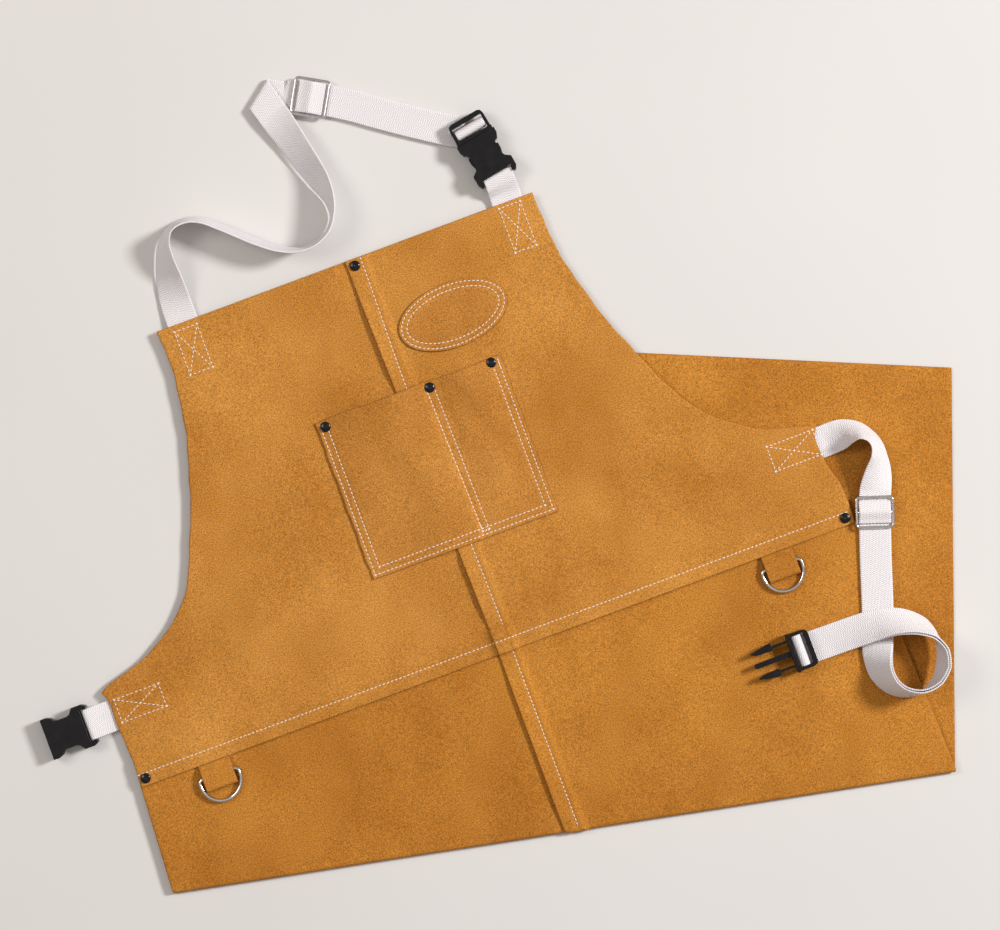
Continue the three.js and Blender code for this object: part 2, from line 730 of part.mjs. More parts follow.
function socket() {
  const half = [
    [GAP, 16.8],
    [5, 16.8],
    [9, 15.2],
    [10.5, 12],
    [21, 12],
    [24, 13.2],
    [27, 17.3],
    [35, 17.3],
    [SOCKET_LENGTH, 15.4],
  ];
  const outline = [...half, ...half.map(([x, y]) => [x, -y]).reverse()].reverse();
  const shell = solid(plate(outline, -SOCKET_HALF_HEIGHT, SOCKET_HALF_HEIGHT));
  const cavityEnd = PRONG_LENGTH + 0.5;
  const tall = SOCKET_HALF_HEIGHT + 1;
  const cuts = join([
    block(0, cavityEnd, -CAVITY_HALF_WIDTH, CAVITY_HALF_WIDTH, -CAVITY_HALF_HEIGHT, CAVITY_HALF_HEIGHT),
    block(cavityEnd + 1.1, SOCKET_LENGTH + 1, -13.3, 13.3, -tall, tall),
  ]);
  const bar = new THREE.CylinderGeometry(SOCKET_BAR / 2, SOCKET_BAR / 2, 28, 12);
  return geometryOf(shell.subtract(cuts).add(solid(bar.translate(SOCKET_BAR_PLACE, 0, 0))));
}

// Webbing over the middle bar of the plug head, with legs down through both slots.
function plugBight(legEnd) {
  const rows = [
    [-12, legEnd],
    [-11.8, -1.2],
    [-10.6, 1.9],
    [-8.1, 3.0],
    [-5.6, 1.9],
    [-4.7, -1.2],
    [-4.6, legEnd],
  ];
  return strap(rows.map(([x, z]) => [x, 0, z, 0, -90]));
}

// ---- assembly -------------------------------------------------------------------------
const apron = new THREE.Group();

function add(name, geometry, material, parent = apron) {
  const mesh = new THREE.Mesh(geometry, material);
  mesh.name = name;
  parent.add(mesh);
  return mesh;
}

function place(x, y, z, turn) {
  const group = new THREE.Group();
  group.position.set(x, y, z);
  group.rotation.z = turn;
  apron.add(group);
  return group;
}

const holes = rivetHoles();
add("bib_left_panel", bibLeft(holes), leather());
add("bib_right_panel", bibRight(holes), leather());
add("skirt_left_panel", skirtLeft(holes), leather());
add("skirt_right_panel", skirtRight(holes), leather());

// The hinge line of the fold: half a turn about it puts the lower skirt under the upper one.
const foldAxis = new THREE.Vector3(foldDirection[0], foldDirection[1], 0);
const folded = new THREE.Group();
folded.position.set(0, -FOLD_DROP, SHEET_TOP / 2);
folded.quaternion.setFromAxisAngle(foldAxis, Math.PI);
apron.add(folded);
add("lower_skirt_left_panel", lowerSkirt(-1), leather(), folded);
add("lower_skirt_right_panel", lowerSkirt(1), leather(), folded);

add("pocket", pocket(holes), leather());
add("oval_patch", ovalPatch(), leather());

for (const [i, side] of ["left", "right"].entries()) {
  const x = TAB_PLACES[i];
  add(`dring_tab_${side}`, ringTab(x), leather());
  const ring = place(x, RING_BAR_Y, RING_BAR_Z, 0);
  add(`dring_${side}`, dRing(), nickel(), ring);
}

for (const [name, x, y, level] of RIVETS) {
  add(`rivet_${name}_cap`, rivetCap(x, y, level), blackMetal());
  add(`rivet_${name}_back`, rivetBack(x, y), blackMetal());
}

// Neck: the strap is sewn below the left corner of the bib and ends at the plug.
const neckStrap = join([
  strap([...NECK_RISE, [...rollEntry, 0], [...rollPoint(-ROLL_BEFORE + 1.5, 0, 0), 0]]),
  rolledStrap(),
  strap([[...rollPoint(ROLL_AFTER - 1.5, 0, 0), 0], [...rollExit, 0], ...NECK_RUN]),
]);
add("neck_strap", geometryOf(neckStrap), webbing());
add("neck_strap_return", strap(NECK_RUN.slice(NECK_SLIDE_ROW), WEB_LAYER), webbing());

const NECK_SLIDE_LENGTH = 30;
const WAIST_SLIDE_LENGTH = 26.5;
function addSlide(name, rows, at, length) {
  const [x, y, z] = rows[at];
  const next = rows[at + 1];
  const group = place(x, y, z + SLIDE_RISE, Math.atan2(next[1] - y, next[0] - x));
  add(`${name}_slide`, slideFrame(length), nickel(), group);
  add(`${name}_slide_bight`, slideBight(length), webbing(), group);
}
addSlide("neck", NECK_RUN, NECK_SLIDE_ROW, NECK_SLIDE_LENGTH);
addSlide("waist", WAIST_RUN, WAIST_SLIDE_ROW, WAIST_SLIDE_LENGTH);

function addPlug(name, group, legEnd) {
  add(`${name}_plug`, plugHead(), plastic(), group);
  add(`${name}_plug_arm_left`, plugArm(1), plastic(), group);
  add(`${name}_plug_arm_right`, plugArm(-1), plastic(), group);
  add(`${name}_plug_bight`, plugBight(legEnd), webbing(), group);
}

const NECK_BUCKLE = { x: 126, y: 383.2, z: 9, turn: THREE.MathUtils.degToRad(-79.9) };
const neckBuckle = place(NECK_BUCKLE.x, NECK_BUCKLE.y, NECK_BUCKLE.z, NECK_BUCKLE.turn);
const neckStrapTop = ON_FLOOR + WEB_THICKNESS / 2;
addPlug("neck", neckBuckle, neckStrapTop + 0.4 - NECK_BUCKLE.z);
add("neck_socket", socket(), plastic(), neckBuckle);

const neckBar = {
  x: NECK_BUCKLE.x + SOCKET_BAR_PLACE * Math.cos(NECK_BUCKLE.turn),
  y: NECK_BUCKLE.y + SOCKET_BAR_PLACE * Math.sin(NECK_BUCKLE.turn),
  z: NECK_BUCKLE.z,
};
const NECK_STUB_START = [132.5, 290];
const neckStubHeading = Math.atan2(neckBar.y - NECK_STUB_START[1], neckBar.x - NECK_STUB_START[0]);
add("neck_stub", strap(stubRows(neckBar, NECK_STUB_START, neckStubHeading, 0, 10.1)), webbing());

// Waist: a socket on the left, a strap with a slide and the plug on the right.
const WAIST_SOCKET = { x: -361.7, y: 51.8, z: 5.5 };
const waistSocket = place(WAIST_SOCKET.x, WAIST_SOCKET.y, WAIST_SOCKET.z, 0);
add("waist_socket", socket(), plastic(), waistSocket);
const waistBar = { x: WAIST_SOCKET.x + SOCKET_BAR_PLACE, y: WAIST_SOCKET.y, z: WAIST_SOCKET.z };
const WAIST_STUB_START = [-266, 51.8];
add("waist_stub", strap(stubRows(waistBar, WAIST_STUB_START, Math.PI, 90, 90)), webbing());

const waistStrap = strap([...WAIST_RISE, ...WAIST_RUN]);
add("waist_strap", waistStrap, webbing());
add("waist_strap_return", strap(WAIST_RUN, WEB_LAYER), webbing());

const WAIST_PLUG = { x: 218.4, y: -90, z: 13.5 };
const waistPlug = place(WAIST_PLUG.x, WAIST_PLUG.y, WAIST_PLUG.z, Math.PI);
const lastRow = WAIST_RUN[WAIST_RUN.length - 1];
addPlug("waist", waistPlug, lastRow[2] + WEB_THICKNESS / 2 + 0.4 - WAIST_PLUG.z);

export default apron;
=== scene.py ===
"""Welding apron of split leather, laid flat with its lower skirt folded under.

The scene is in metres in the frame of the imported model: +X across the apron, +Y towards the
bib, +Z up, and the origin on the floor below the crossing of the centre lap and waist seam.
Sizes are written in millimetres and scaled by MM where a mesh is made.
"""
import math

import bmesh
import bpy
import numpy as np
from mathutils import Matrix, Vector


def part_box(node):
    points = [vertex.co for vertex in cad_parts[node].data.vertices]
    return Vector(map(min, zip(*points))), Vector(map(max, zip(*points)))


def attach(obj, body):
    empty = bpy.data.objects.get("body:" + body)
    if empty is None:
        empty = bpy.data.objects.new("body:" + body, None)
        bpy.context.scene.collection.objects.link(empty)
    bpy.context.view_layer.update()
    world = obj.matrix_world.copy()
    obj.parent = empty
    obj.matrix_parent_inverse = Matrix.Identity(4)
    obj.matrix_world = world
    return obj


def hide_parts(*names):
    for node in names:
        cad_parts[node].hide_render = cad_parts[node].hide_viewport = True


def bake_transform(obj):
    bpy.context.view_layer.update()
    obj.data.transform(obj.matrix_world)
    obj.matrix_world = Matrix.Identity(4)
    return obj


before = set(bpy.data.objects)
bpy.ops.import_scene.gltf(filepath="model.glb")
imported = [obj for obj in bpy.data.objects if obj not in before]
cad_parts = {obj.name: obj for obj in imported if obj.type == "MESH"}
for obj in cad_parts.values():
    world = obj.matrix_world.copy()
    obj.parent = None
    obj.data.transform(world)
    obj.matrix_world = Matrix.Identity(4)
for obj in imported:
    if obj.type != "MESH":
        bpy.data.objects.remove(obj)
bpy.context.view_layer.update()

MM = 0.001


def link_new(name, data):
    obj = bpy.data.objects.new(name, data)
    bpy.context.scene.collection.objects.link(obj)
    return obj


# ---- the camera, straight above the apron and turned about its own axis ------------------
VIEW_CENTRE = (0.0536, 0.1316)
VIEW_WIDTH = 0.8
VIEW_TURN = math.radians(-20.4)
CAMERA_HEIGHT = 2.6
SENSOR_WIDTH = 36

camera_data = bpy.data.cameras.new("camera")
camera_data.sensor_width = SENSOR_WIDTH
camera_data.lens = SENSOR_WIDTH * CAMERA_HEIGHT / VIEW_WIDTH
camera = link_new("camera", camera_data)
camera.location = (*VIEW_CENTRE, CAMERA_HEIGHT)
camera.rotation_euler = (0, 0, VIEW_TURN)
bpy.context.scene.camera = camera

# ---- sizes, in millimetres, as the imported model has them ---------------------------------
LEATHER = 1.6
PANEL_MIDDLE = 4.6  # middle of a single upper panel above the floor
LOWER_MIDDLE = 0.9  # middle of the folded-under skirt
LEVEL = 1.8  # rise where one panel laps over another
BIB_HEIGHT = 326.5
WAIST_HALF = 303.5
BIB_LEAN = 6
SKIRT_SPREAD = 6.5
SKIRT_LENGTH = 542
HEM_HALF = 292
FOLD_DROP = 159
FOLD_ANGLE = math.radians(-11.56)
LAP_BELOW = 10  # how far the bib runs on below the waist seam
LAP_ABOVE = 8  # how far the skirt runs on above it
CENTRE_LAP = 14
CENTRE_STITCH = 11.5
CORNER_CUT = 6.3  # how far the right half is cut back by the strap
RIVETS = {
    "bib": (0.5, 320.9),
    "pocket_left": (-66.3, 208.6),
    "pocket_middle": (22.5, 209.1),
    "pocket_right": (75.3, 210.6),
    "waist_left": (-298.5, -4),
    "waist_right": (297, -4),
}
POCKET = (-73, 84, 81, 214)
PATCH_CENTRE = (60.2, 257.1)
PATCH_HALF = (45.4, 25.8)
PATCH_TURN = math.radians(2)
TAB_PLACES = {"left": -242.8, "right": 235.6}
TAB_WIDTH = 25.8
TAB_LEATHER = 1.4
RING_BAR = (-21, 9.0)
RING_WIRE = 3
WEB_WIDTH = 25.4
WEB_THICKNESS = 1.3
WEB_LAYER = 2.1
STITCH_PITCH = 3.45
THREAD_LIFT = 0.12  # middle of a stitch above the face it is sewn on
RIPPLE_REST = 0.15  # height of the slow waves where a rivet holds the leather down
RIVET_CALM = 15  # how far round a rivet the leather is held flat
POCKET_ROWS = (2.8, 8.0)  # the pocket's two rows of thread, in from its edge
PATCH_ROWS = (2.2, 6.5)  # the same for the oval patch
EDGE_DROP = 0.175  # share of its thickness by which a sheet's border is lowered
EDGE_PROUD = 0.25  # how far the middle of a cut edge stands out


# ---- small helpers -----------------------------------------------------------------------
def smooth(value, start, end):
    t = np.clip((np.asarray(value, float) - start) / (end - start), 0, 1)
    return t * t * (3 - 2 * t)


def bump(distance, width):
    return np.exp(-((distance / width) ** 2))


def new_object(name, vertices, faces, material=None, uv=None, edge=None, smooth_shade=True):
    mesh = bpy.data.meshes.new(name)
    mesh.from_pydata([tuple(v) for v in vertices], [], faces)
    mesh.update()
    if uv is not None:
        layer = mesh.uv_layers.new(name="UVMap")
        loops = np.empty(len(mesh.loops), int)
        mesh.loops.foreach_get("vertex_index", loops)
        layer.data.foreach_set("uv", np.asarray(uv, np.float32)[loops].ravel())
    if edge is not None:
        attribute = mesh.attributes.new("cut_edge", "FLOAT", "POINT")
        attribute.data.foreach_set("value", np.asarray(edge, np.float32))
    mesh.polygons.foreach_set("use_smooth", [smooth_shade] * len(mesh.polygons))
    obj = link_new(name, mesh)
    if material is not None:
        mesh.materials.append(material)
    return obj


def fix_normals(obj, merge=True):
    work = bmesh.new()
    work.from_mesh(obj.data)
    if merge:
        bmesh.ops.remove_doubles(work, verts=work.verts, dist=1e-6)
    bmesh.ops.recalc_face_normals(work, faces=work.faces)
    work.to_mesh(obj.data)
    work.free()
    return obj


def apply_modifiers(obj):
    """The object as a plain mesh, with its modifiers applied and removed."""
    evaluated = obj.evaluated_get(bpy.context.evaluated_depsgraph_get())
    mesh = bpy.data.meshes.new_from_object(evaluated)
    obj.modifiers.clear()
    obj.data = mesh
    return mesh


def band(first, second, count):
    """Faces between two closed rings of points, given where each ring starts."""
    following = [(i + 1) % count for i in range(count)]
    return [(first + i, first + j, second + j, second + i) for i, j in enumerate(following)]


def slab_from_grid(name, top, bottom, material):
    """A closed sheet from two matching grids of points, with its border rounded over."""
    rows, columns = top.shape[:2]
    top = top.copy()
    bottom = bottom.copy()
    border = np.zeros((rows, columns), bool)
    border[0, :] = border[-1, :] = border[:, 0] = border[:, -1] = True
    middle = (top + bottom) / 2
    drop = (top - bottom)[border] * EDGE_DROP
    top[border] -= drop
    bottom[border] += drop * 0.6
    ring = (
        [(0, j) for j in range(columns)]
        + [(i, columns - 1) for i in range(1, rows)]
        + [(rows - 1, j) for j in range(columns - 2, -1, -1)]
        + [(i, 0) for i in range(rows - 2, 0, -1)]
    )
    index = np.arange(rows * columns).reshape(rows, columns)
    count = rows * columns
    vertices = np.concatenate([top.reshape(-1, 3), bottom.reshape(-1, 3)])
    faces = []
    for i in range(rows - 1):
        for j in range(columns - 1):
            a, b, c, d = index[i, j], index[i, j + 1], index[i + 1, j + 1], index[i + 1, j]
            faces.append((a, b, c, d))
            faces.append((a + count, d + count, c + count, b + count))
    walls = []
    for i, j in ring:
        inner = middle[min(max(i, 1), rows - 2), min(max(j, 1), columns - 2)]
        outward = middle[i, j] - inner
        length = np.linalg.norm(outward)
        walls.append(middle[i, j] + outward / max(length, 1e-9) * EDGE_PROUD * MM)
    wall_index = len(vertices) + np.arange(len(ring))
    vertices = np.concatenate([vertices, np.array(walls)])
    for k, (i, j) in enumerate(ring):
        n = (k + 1) % len(ring)
        a, b = index[i, j], index[ring[n]]
        faces.append((b, a, wall_index[k], wall_index[n]))
        faces.append((wall_index[n], wall_index[k], a + count, b + count))
    edge = np.zeros(len(vertices))
    edge[np.concatenate([index[border], index[border] + count])] = 0.6
    edge[wall_index] = 1.0
    obj = new_object(name, vertices, faces, material, edge=edge)
    return fix_normals(obj)


# ---- materials ---------------------------------------------------------------------------
def linear(red, green, blue):
    channels = []
    for value in (red, green, blue):
        value /= 255
        channels.append(value / 12.92 if value <= 0.04045 else ((value + 0.055) / 1.055) ** 2.4)
    return (*channels, 1)


def new_group(name, inputs, outputs):
    tree = bpy.data.node_groups.new(name, "ShaderNodeTree")
    for label, kind, value in inputs:
        socket = tree.interface.new_socket(name=label, in_out="INPUT", socket_type=kind)
        socket.default_value = value
    for label, kind in outputs:
        tree.interface.new_socket(name=label, in_out="OUTPUT", socket_type=kind)
    return tree, tree.nodes.new("NodeGroupInput"), tree.nodes.new("NodeGroupOutput")


def put(value, socket, links):
    if isinstance(value, bpy.types.NodeSocket):
        links.new(value, socket)
    else:
        socket.default_value = value


def math_node(tree, operation, *values):
    node = tree.nodes.new("ShaderNodeMath")
    node.operation = operation
    for value, socket in zip(values, node.inputs):
        put(value, socket, tree.links)
    return node.outputs[0]


def weighted(tree, first, first_share, second, second_share):
    """The sum of two values, each taken at its own share."""
    return math_node(
        tree, "ADD",
        math_node(tree, "MULTIPLY", first, first_share),
        math_node(tree, "MULTIPLY", second, second_share),
    )


def map_range(tree, value, low, high, out_low, out_high):
    node = tree.nodes.new("ShaderNodeMapRange")
    for item, socket in zip((value, low, high, out_low, out_high), node.inputs):
        put(item, socket, tree.links)
    return node.outputs[0]


def mix_colour(tree, factor, first, second, blend="MIX"):
    node = tree.nodes.new("ShaderNodeMix")
    node.data_type = "RGBA"
    node.blend_type = blend
    put(factor, node.inputs[0], tree.links)
    put(first, node.inputs[6], tree.links)
    put(second, node.inputs[7], tree.links)
    return node.outputs[2]


def noise(tree, scale, detail=2.0, roughness=0.5, stretch=None):
    node = tree.nodes.new("ShaderNodeTexNoise")
    coordinates = tree.nodes.new("ShaderNodeTexCoord").outputs["Object"]
    if stretch is not None:
        mapping = tree.nodes.new("ShaderNodeMapping")
        mapping.inputs["Scale"].default_value = stretch
        tree.links.new(coordinates, mapping.inputs["Vector"])
        coordinates = mapping.outputs[0]
    tree.links.new(coordinates, node.inputs["Vector"])
    node.inputs["Scale"].default_value = scale
    node.inputs["Detail"].default_value = detail
    node.inputs["Roughness"].default_value = roughness
    return node.outputs["Fac"]


def leather_nap_group():
    """Suede nap: broad mottling, a speckled grain and a redder cut edge."""
    tree, given, result = new_group(
        "leather_nap",
        [
            ("Light", "NodeSocketColor", (1, 1, 1, 1)),
            ("Dark", "NodeSocketColor", (0, 0, 0, 1)),
            ("Edge", "NodeSocketColor", (0, 0, 0, 1)),
            ("Grain", "NodeSocketFloat", 1.0),
        ],
        [("Color", "NodeSocketColor"), ("Roughness", "NodeSocketFloat"), ("Height", "NodeSocketFloat")],
    )
    broad = map_range(tree, noise(tree, 10, 4, 0.5), 0.36, 0.64, 0, 1)
    patches = map_range(tree, noise(tree, 38, 3, 0.5, (1, 0.6, 1)), 0.3, 0.7, 0, 1)
    shade = weighted(tree, broad, 0.68, patches, 0.32)
    colour = mix_colour(tree, shade, given.outputs["Dark"], given.outputs["Light"])
    speck = noise(tree, 980, 2, 0.7)
    fibre = noise(tree, 2100, 2, 0.6, (1, 0.45, 1))
    grain = weighted(tree, speck, 0.62, fibre, 0.38)
    strength = math_node(tree, "MULTIPLY", given.outputs["Grain"], 0.72)
    low = math_node(tree, "SUBTRACT", 1.0, strength)
    high = math_node(tree, "ADD", 1.0, strength)
    tone = map_range(tree, grain, 0.3, 0.7, low, high)
    scaled = tree.nodes.new("ShaderNodeVectorMath")
    scaled.operation = "SCALE"
    tree.links.new(colour, scaled.inputs[0])
    tree.links.new(tone, scaled.inputs["Scale"])
    attribute = tree.nodes.new("ShaderNodeAttribute")
    attribute.attribute_name = "cut_edge"
    ragged = map_range(tree, speck, 0.35, 0.6, 0.75, 1.0)
    worn = math_node(tree, "MULTIPLY", attribute.outputs["Fac"], ragged)
    edge_share = map_range(tree, worn, 0.45, 0.95, 0, 0.9)
    final = mix_colour(tree, edge_share, scaled.outputs[0], given.outputs["Edge"])
    tree.links.new(final, result.inputs["Color"])
    tree.links.new(map_range(tree, patches, 0, 1, 0.94, 0.8), result.inputs["Roughness"])
    height = math_node(tree, "ADD", grain, math_node(tree, "MULTIPLY", patches, 0.5))
    tree.links.new(height, result.inputs["Height"])
    return tree


def weave_group():
    """Flat webbing: cross ribs, herringbone columns down the middle and plain firm edges."""
    tree, given, result = new_group(
        "webbing_weave",
        [("Rib", "NodeSocketFloat", 1.55), ("Columns", "NodeSocketFloat", 6.0)],
        [("Shade", "NodeSocketFloat"), ("Height", "NodeSocketFloat"), ("Selvedge", "NodeSocketFloat")],
    )
    uv = tree.nodes.new("ShaderNodeUVMap")
    uv.uv_map = "UVMap"
    split = tree.nodes.new("ShaderNodeSeparateXYZ")
    tree.links.new(uv.outputs[0], split.inputs[0])
    across, along = split.outputs[0], split.outputs[1]
    rib = given.outputs["Rib"]
    column = math_node(tree, "MULTIPLY", across, given.outputs["Columns"])
    odd = math_node(tree, "MODULO", math_node(tree, "FLOOR", column), 2.0)
    side = math_node(tree, "SUBTRACT", math_node(tree, "MULTIPLY", odd, 2.0), 1.0)
    inside = math_node(tree, "SUBTRACT", math_node(tree, "FRACT", column), 0.5)
    lean_part = math_node(tree, "MULTIPLY", math_node(tree, "MULTIPLY", side, inside), 1.6)
    step = math_node(tree, "DIVIDE", math_node(tree, "MULTIPLY", along, 1000.0), rib)
    phase = math_node(tree, "ADD", step, lean_part)
    diagonal = math_node(tree, "SINE", math_node(tree, "MULTIPLY", phase, 2 * math.pi))
    cross = math_node(tree, "SINE", math_node(tree, "MULTIPLY", step, 2 * math.pi))
    warp = math_node(tree, "SINE", math_node(tree, "MULTIPLY", across, 2 * math.pi * 22))
    from_middle = math_node(tree, "ABSOLUTE", math_node(tree, "SUBTRACT", across, 0.5))
    selvedge = map_range(tree, from_middle, 0.4, 0.44, 0, 1)
    pattern = tree.nodes.new("ShaderNodeMix")
    for value, socket in zip((selvedge, diagonal, cross), pattern.inputs[0:1] + pattern.inputs[2:4]):
        put(value, socket, tree.links)
    fuzz = noise(tree, 2600, 2, 0.6)
    height = math_node(tree, "ADD", pattern.outputs[0], math_node(tree, "MULTIPLY", warp, 0.45))
    height = math_node(tree, "ADD", height, math_node(tree, "MULTIPLY", fuzz, 0.6))
    tree.links.new(height, result.inputs["Height"])
    # Shade is painted shade: the low places of the weave, the grooves between its ribs, come out darker
    tree.links.new(map_range(tree, height, -1.2, 1.4, 0.0, 1.0), result.inputs["Shade"])
    tree.links.new(selvedge, result.inputs["Selvedge"])
    return tree


LEATHER_NAP = leather_nap_group()
WEAVE = weave_group()


def new_material(name, **sockets):
    material = bpy.data.materials.new(name)
    material.use_nodes = True
    shader = material.node_tree.nodes["Principled BSDF"]
    for label, value in sockets.items():
        shader.inputs[label.replace("_", " ")].default_value = value
    return material, material.node_tree, shader


def add_bump(tree, shader, height, strength, distance):
    node = tree.nodes.new("ShaderNodeBump")
    node.inputs["Strength"].default_value = strength
    node.inputs["Distance"].default_value = distance
    tree.links.new(height, node.inputs["Height"])
    tree.links.new(node.outputs[0], shader.inputs["Normal"])


def leather_material(name, light, dark, edge):
    material, tree, shader = new_material(
        name, Specular_IOR_Level=0.2, Sheen_Weight=0.04, Sheen_Roughness=0.6
    )
    shader.inputs["Sheen Tint"].default_value = linear(255, 214, 150)
    nap = tree.nodes.new("ShaderNodeGroup")
    nap.node_tree = LEATHER_NAP
    nap.inputs["Light"].default_value = linear(*light)
    nap.inputs["Dark"].default_value = linear(*dark)
    nap.inputs["Edge"].default_value = linear(*edge)
    tree.links.new(nap.outputs["Color"], shader.inputs["Base Color"])
    tree.links.new(nap.outputs["Roughness"], shader.inputs["Roughness"])
    add_bump(tree, shader, nap.outputs["Height"], strength=0.45, distance=0.0006)
    return material


def webbing_material():
    material, tree, shader = new_material(
        "white_webbing", Roughness=0.8, Specular_IOR_Level=0.3, Sheen_Weight=0.1
    )
    weave = tree.nodes.new("ShaderNodeGroup")
    weave.node_tree = WEAVE
    # painted shade: the weave's grooves are coloured grey and its raised ribs white, from the Shade output
    colour = mix_colour(tree, weave.outputs["Shade"], linear(196, 190, 194), linear(246, 243, 245))
    tree.links.new(colour, shader.inputs["Base Color"])
    add_bump(tree, shader, weave.outputs["Height"], strength=0.5, distance=0.00022)
    return material


def plastic_material():
    material, tree, shader = new_material("black_moulded_plastic", Specular_IOR_Level=0.34)
    spark = noise(tree, 2200, 2, 0.6)
    clouds = noise(tree, 140, 3, 0.5)
    colour = mix_colour(tree, clouds, linear(9, 8, 11), linear(15, 13, 17))
    tree.links.new(colour, shader.inputs["Base Color"])
    tree.links.new(map_range(tree, clouds, 0.3, 0.7, 0.28, 0.42), shader.inputs["Roughness"])
    add_bump(tree, shader, spark, strength=0.25, distance=0.0001)
    return material


def metal_material(name, bright, dark, metallic, rough):
    material, tree, shader = new_material(name, Metallic=metallic)
    haze = noise(tree, 260, 3, 0.6)
    tree.links.new(mix_colour(tree, haze, linear(*dark), linear(*bright)), shader.inputs["Base Color"])
    tree.links.new(map_range(tree, haze, 0.3, 0.7, rough[0], rough[1]), shader.inputs["Roughness"])
    add_bump(tree, shader, noise(tree, 700, 2, 0.5), strength=0.06, distance=0.0001)
    return material


def thread_material():
    material, tree, shader = new_material("white_thread", Roughness=0.7, Sheen_Weight=0.2)
    twist = noise(tree, 1800, 2, 0.6)
    colour = mix_colour(tree, twist, linear(214, 200, 186), linear(250, 246, 240))
    tree.links.new(colour, shader.inputs["Base Color"])
    add_bump(tree, shader, twist, strength=0.5, distance=0.0002)
    return material


BIB_LEATHER = leather_material("bib_leather", (198, 137, 61), (171, 110, 38), (120, 62, 34))
SKIRT_LEATHER = leather_material("skirt_leather", (189, 126, 47), (165, 103, 32), (118, 60, 32))
POCKET_LEATHER = leather_material("pocket_leather", (196, 135, 61), (167, 107, 39), (120, 62, 34))
WEBBING = webbing_material()
PLASTIC = plastic_material()
NICKEL = metal_material("nickel_plate", (236, 234, 232), (214, 212, 212), 1.0, (0.1, 0.2))
RIVET_BLACK = metal_material("black_rivet_gloss", (30, 30, 34), (16, 16, 20), 0.4, (0.16, 0.28))
THREAD = thread_material()


# ---- the lie of the leather --------------------------------------------------------------
def lean_at(y):
    return BIB_LEAN * y / BIB_HEIGHT


def ripple(x, y):
    """Slow waves of a hide that doesn't lie quite flat, held down round the rivets."""
    wave = np.sin(x / 47 + 1.3 * np.sin(y / 61)) * np.cos(y / 53 - x / 140)
    slow = np.sin((x + 0.6 * y) / 104 + 0.8)
    swell = smooth(-y, 14, 50) * np.sin((x - 0.7 * y) / 38) * 0.3
    held = 1.0
    for rivet_x, rivet_y in RIVETS.values():
        held = held * (1 - np.exp(-((x - rivet_x) ** 2 + (y - rivet_y) ** 2) / RIVET_CALM**2))
    return RIPPLE_REST + held * (0.7 + 0.32 * wave + 0.23 * slow + swell)


def over_centre(x, y):
    """1 on the strip where the right half laps over the left half."""
    return 1 - smooth(x + lean_at(np.maximum(y, 0)), CENTRE_LAP + 0.2, CENTRE_LAP + 5)


def centre_stitch_at(y):
    """Where the row of the centre seam runs: beside the lap edge, closer to it on the chest."""
    leaning = CENTRE_STITCH - lean_at(np.maximum(y, 0))
    chest = 5.0 + 1.7 * smooth(y, 215, 325)
    share = smooth(y, 95, 210)
    return leaning * (1 - share) + chest * share


def over_waist(y):
    return 1 - smooth(y, LAP_ABOVE, LAP_ABOVE + 6)


def seam_groove(x, y, half):
    """Thread pulls the leather down along the seams."""
    groove = 0.4 * bump(y, 1.5) if half.startswith("bib") else 0
    if half.endswith("right"):
        groove = groove + 0.4 * bump(x - centre_stitch_at(y), 1.5)
    return groove


def lap_curl(x, y, half):
    """A lap's free edge curls up between the rivets that hold it."""
    curl = 0.0
    shifted = x + lean_at(np.maximum(y, 0))
    if half.endswith("right"):
        reach = np.clip(1 - shifted / 11, 0, 1) ** 1.6
        above = 1.9 * smooth(y, 214, 236) * (1 - smooth(y, 268, 318))
        between = 2.0 * smooth(y, 12, 34) * (1 - smooth(y, 66, 82))
        below = 1.3 * (1 - smooth(y, -44, -16))
        curl = reach * (above + between + below)
    if half.startswith("bib"):
        reach = np.clip(1 - (y + LAP_BELOW) / 9, 0, 1) ** 1.5
        far = 0.6 + 0.9 * smooth(np.abs(x - 150), 150, 40) + 0.6 * smooth(np.abs(x + 120), 150, 60)
        far = far * smooth(np.abs(x), 20, 60) * (1 - smooth(np.abs(x), 225, 290))
        curl = curl + reach * far
    return curl


def upper_middle(x, y, half):
    """Height of the middle of an upper panel, without its ripple."""
    centre = over_centre(x, y)
    waist = over_waist(y)
    under_lap = smooth(x + lean_at(np.maximum(y, 0)), -6, -0.5)
    lift = {
        "bib_left": waist * (1 + under_lap),
        "bib_right": waist + centre + centre * waist,
        "skirt_left": 0 * x,
        "skirt_right": centre,
    }[half]
    return PANEL_MIDDLE + LEVEL * lift


def panel_surface(x, y, half):
    middle = upper_middle(x, y, half) + lap_curl(x, y, half)
    return middle + ripple(x, y) - RIPPLE_REST


def sewn_surface(x, y, half):
    return panel_surface(x, y, half) - seam_groove(x, y, half)


def top_of(x, y):
    """Height of the visible leather at a place on the bib or the upper skirt."""
    x = np.asarray(x, float)
    y = np.asarray(y, float)
    right = x + lean_at(np.maximum(y, 0)) > 0
    bib = y > -LAP_BELOW
    heights = np.where(
        bib,
        np.where(right, sewn_surface(x, y, "bib_right"), sewn_surface(x, y, "bib_left")),
        np.where(right, sewn_surface(x, y, "skirt_right"), sewn_surface(x, y, "skirt_left")),
    )
    return heights + LEATHER / 2


def bib_side(y):
    """Half-width of the bib at a height above the waist seam."""
    places = np.array([-10, 60, 74, 89, 120, 177, 236, 285, 326.5])
    halves = np.array([303.5, 303.8, 303.5, 258, 218, 190, 170, 160.5, 159.5])
    fine = np.linspace(0, len(places) - 1, 300)
    ys = cubic(places, fine)
    xs = cubic(halves, fine)
    order = np.argsort(ys)
    return np.interp(y, ys[order], xs[order])


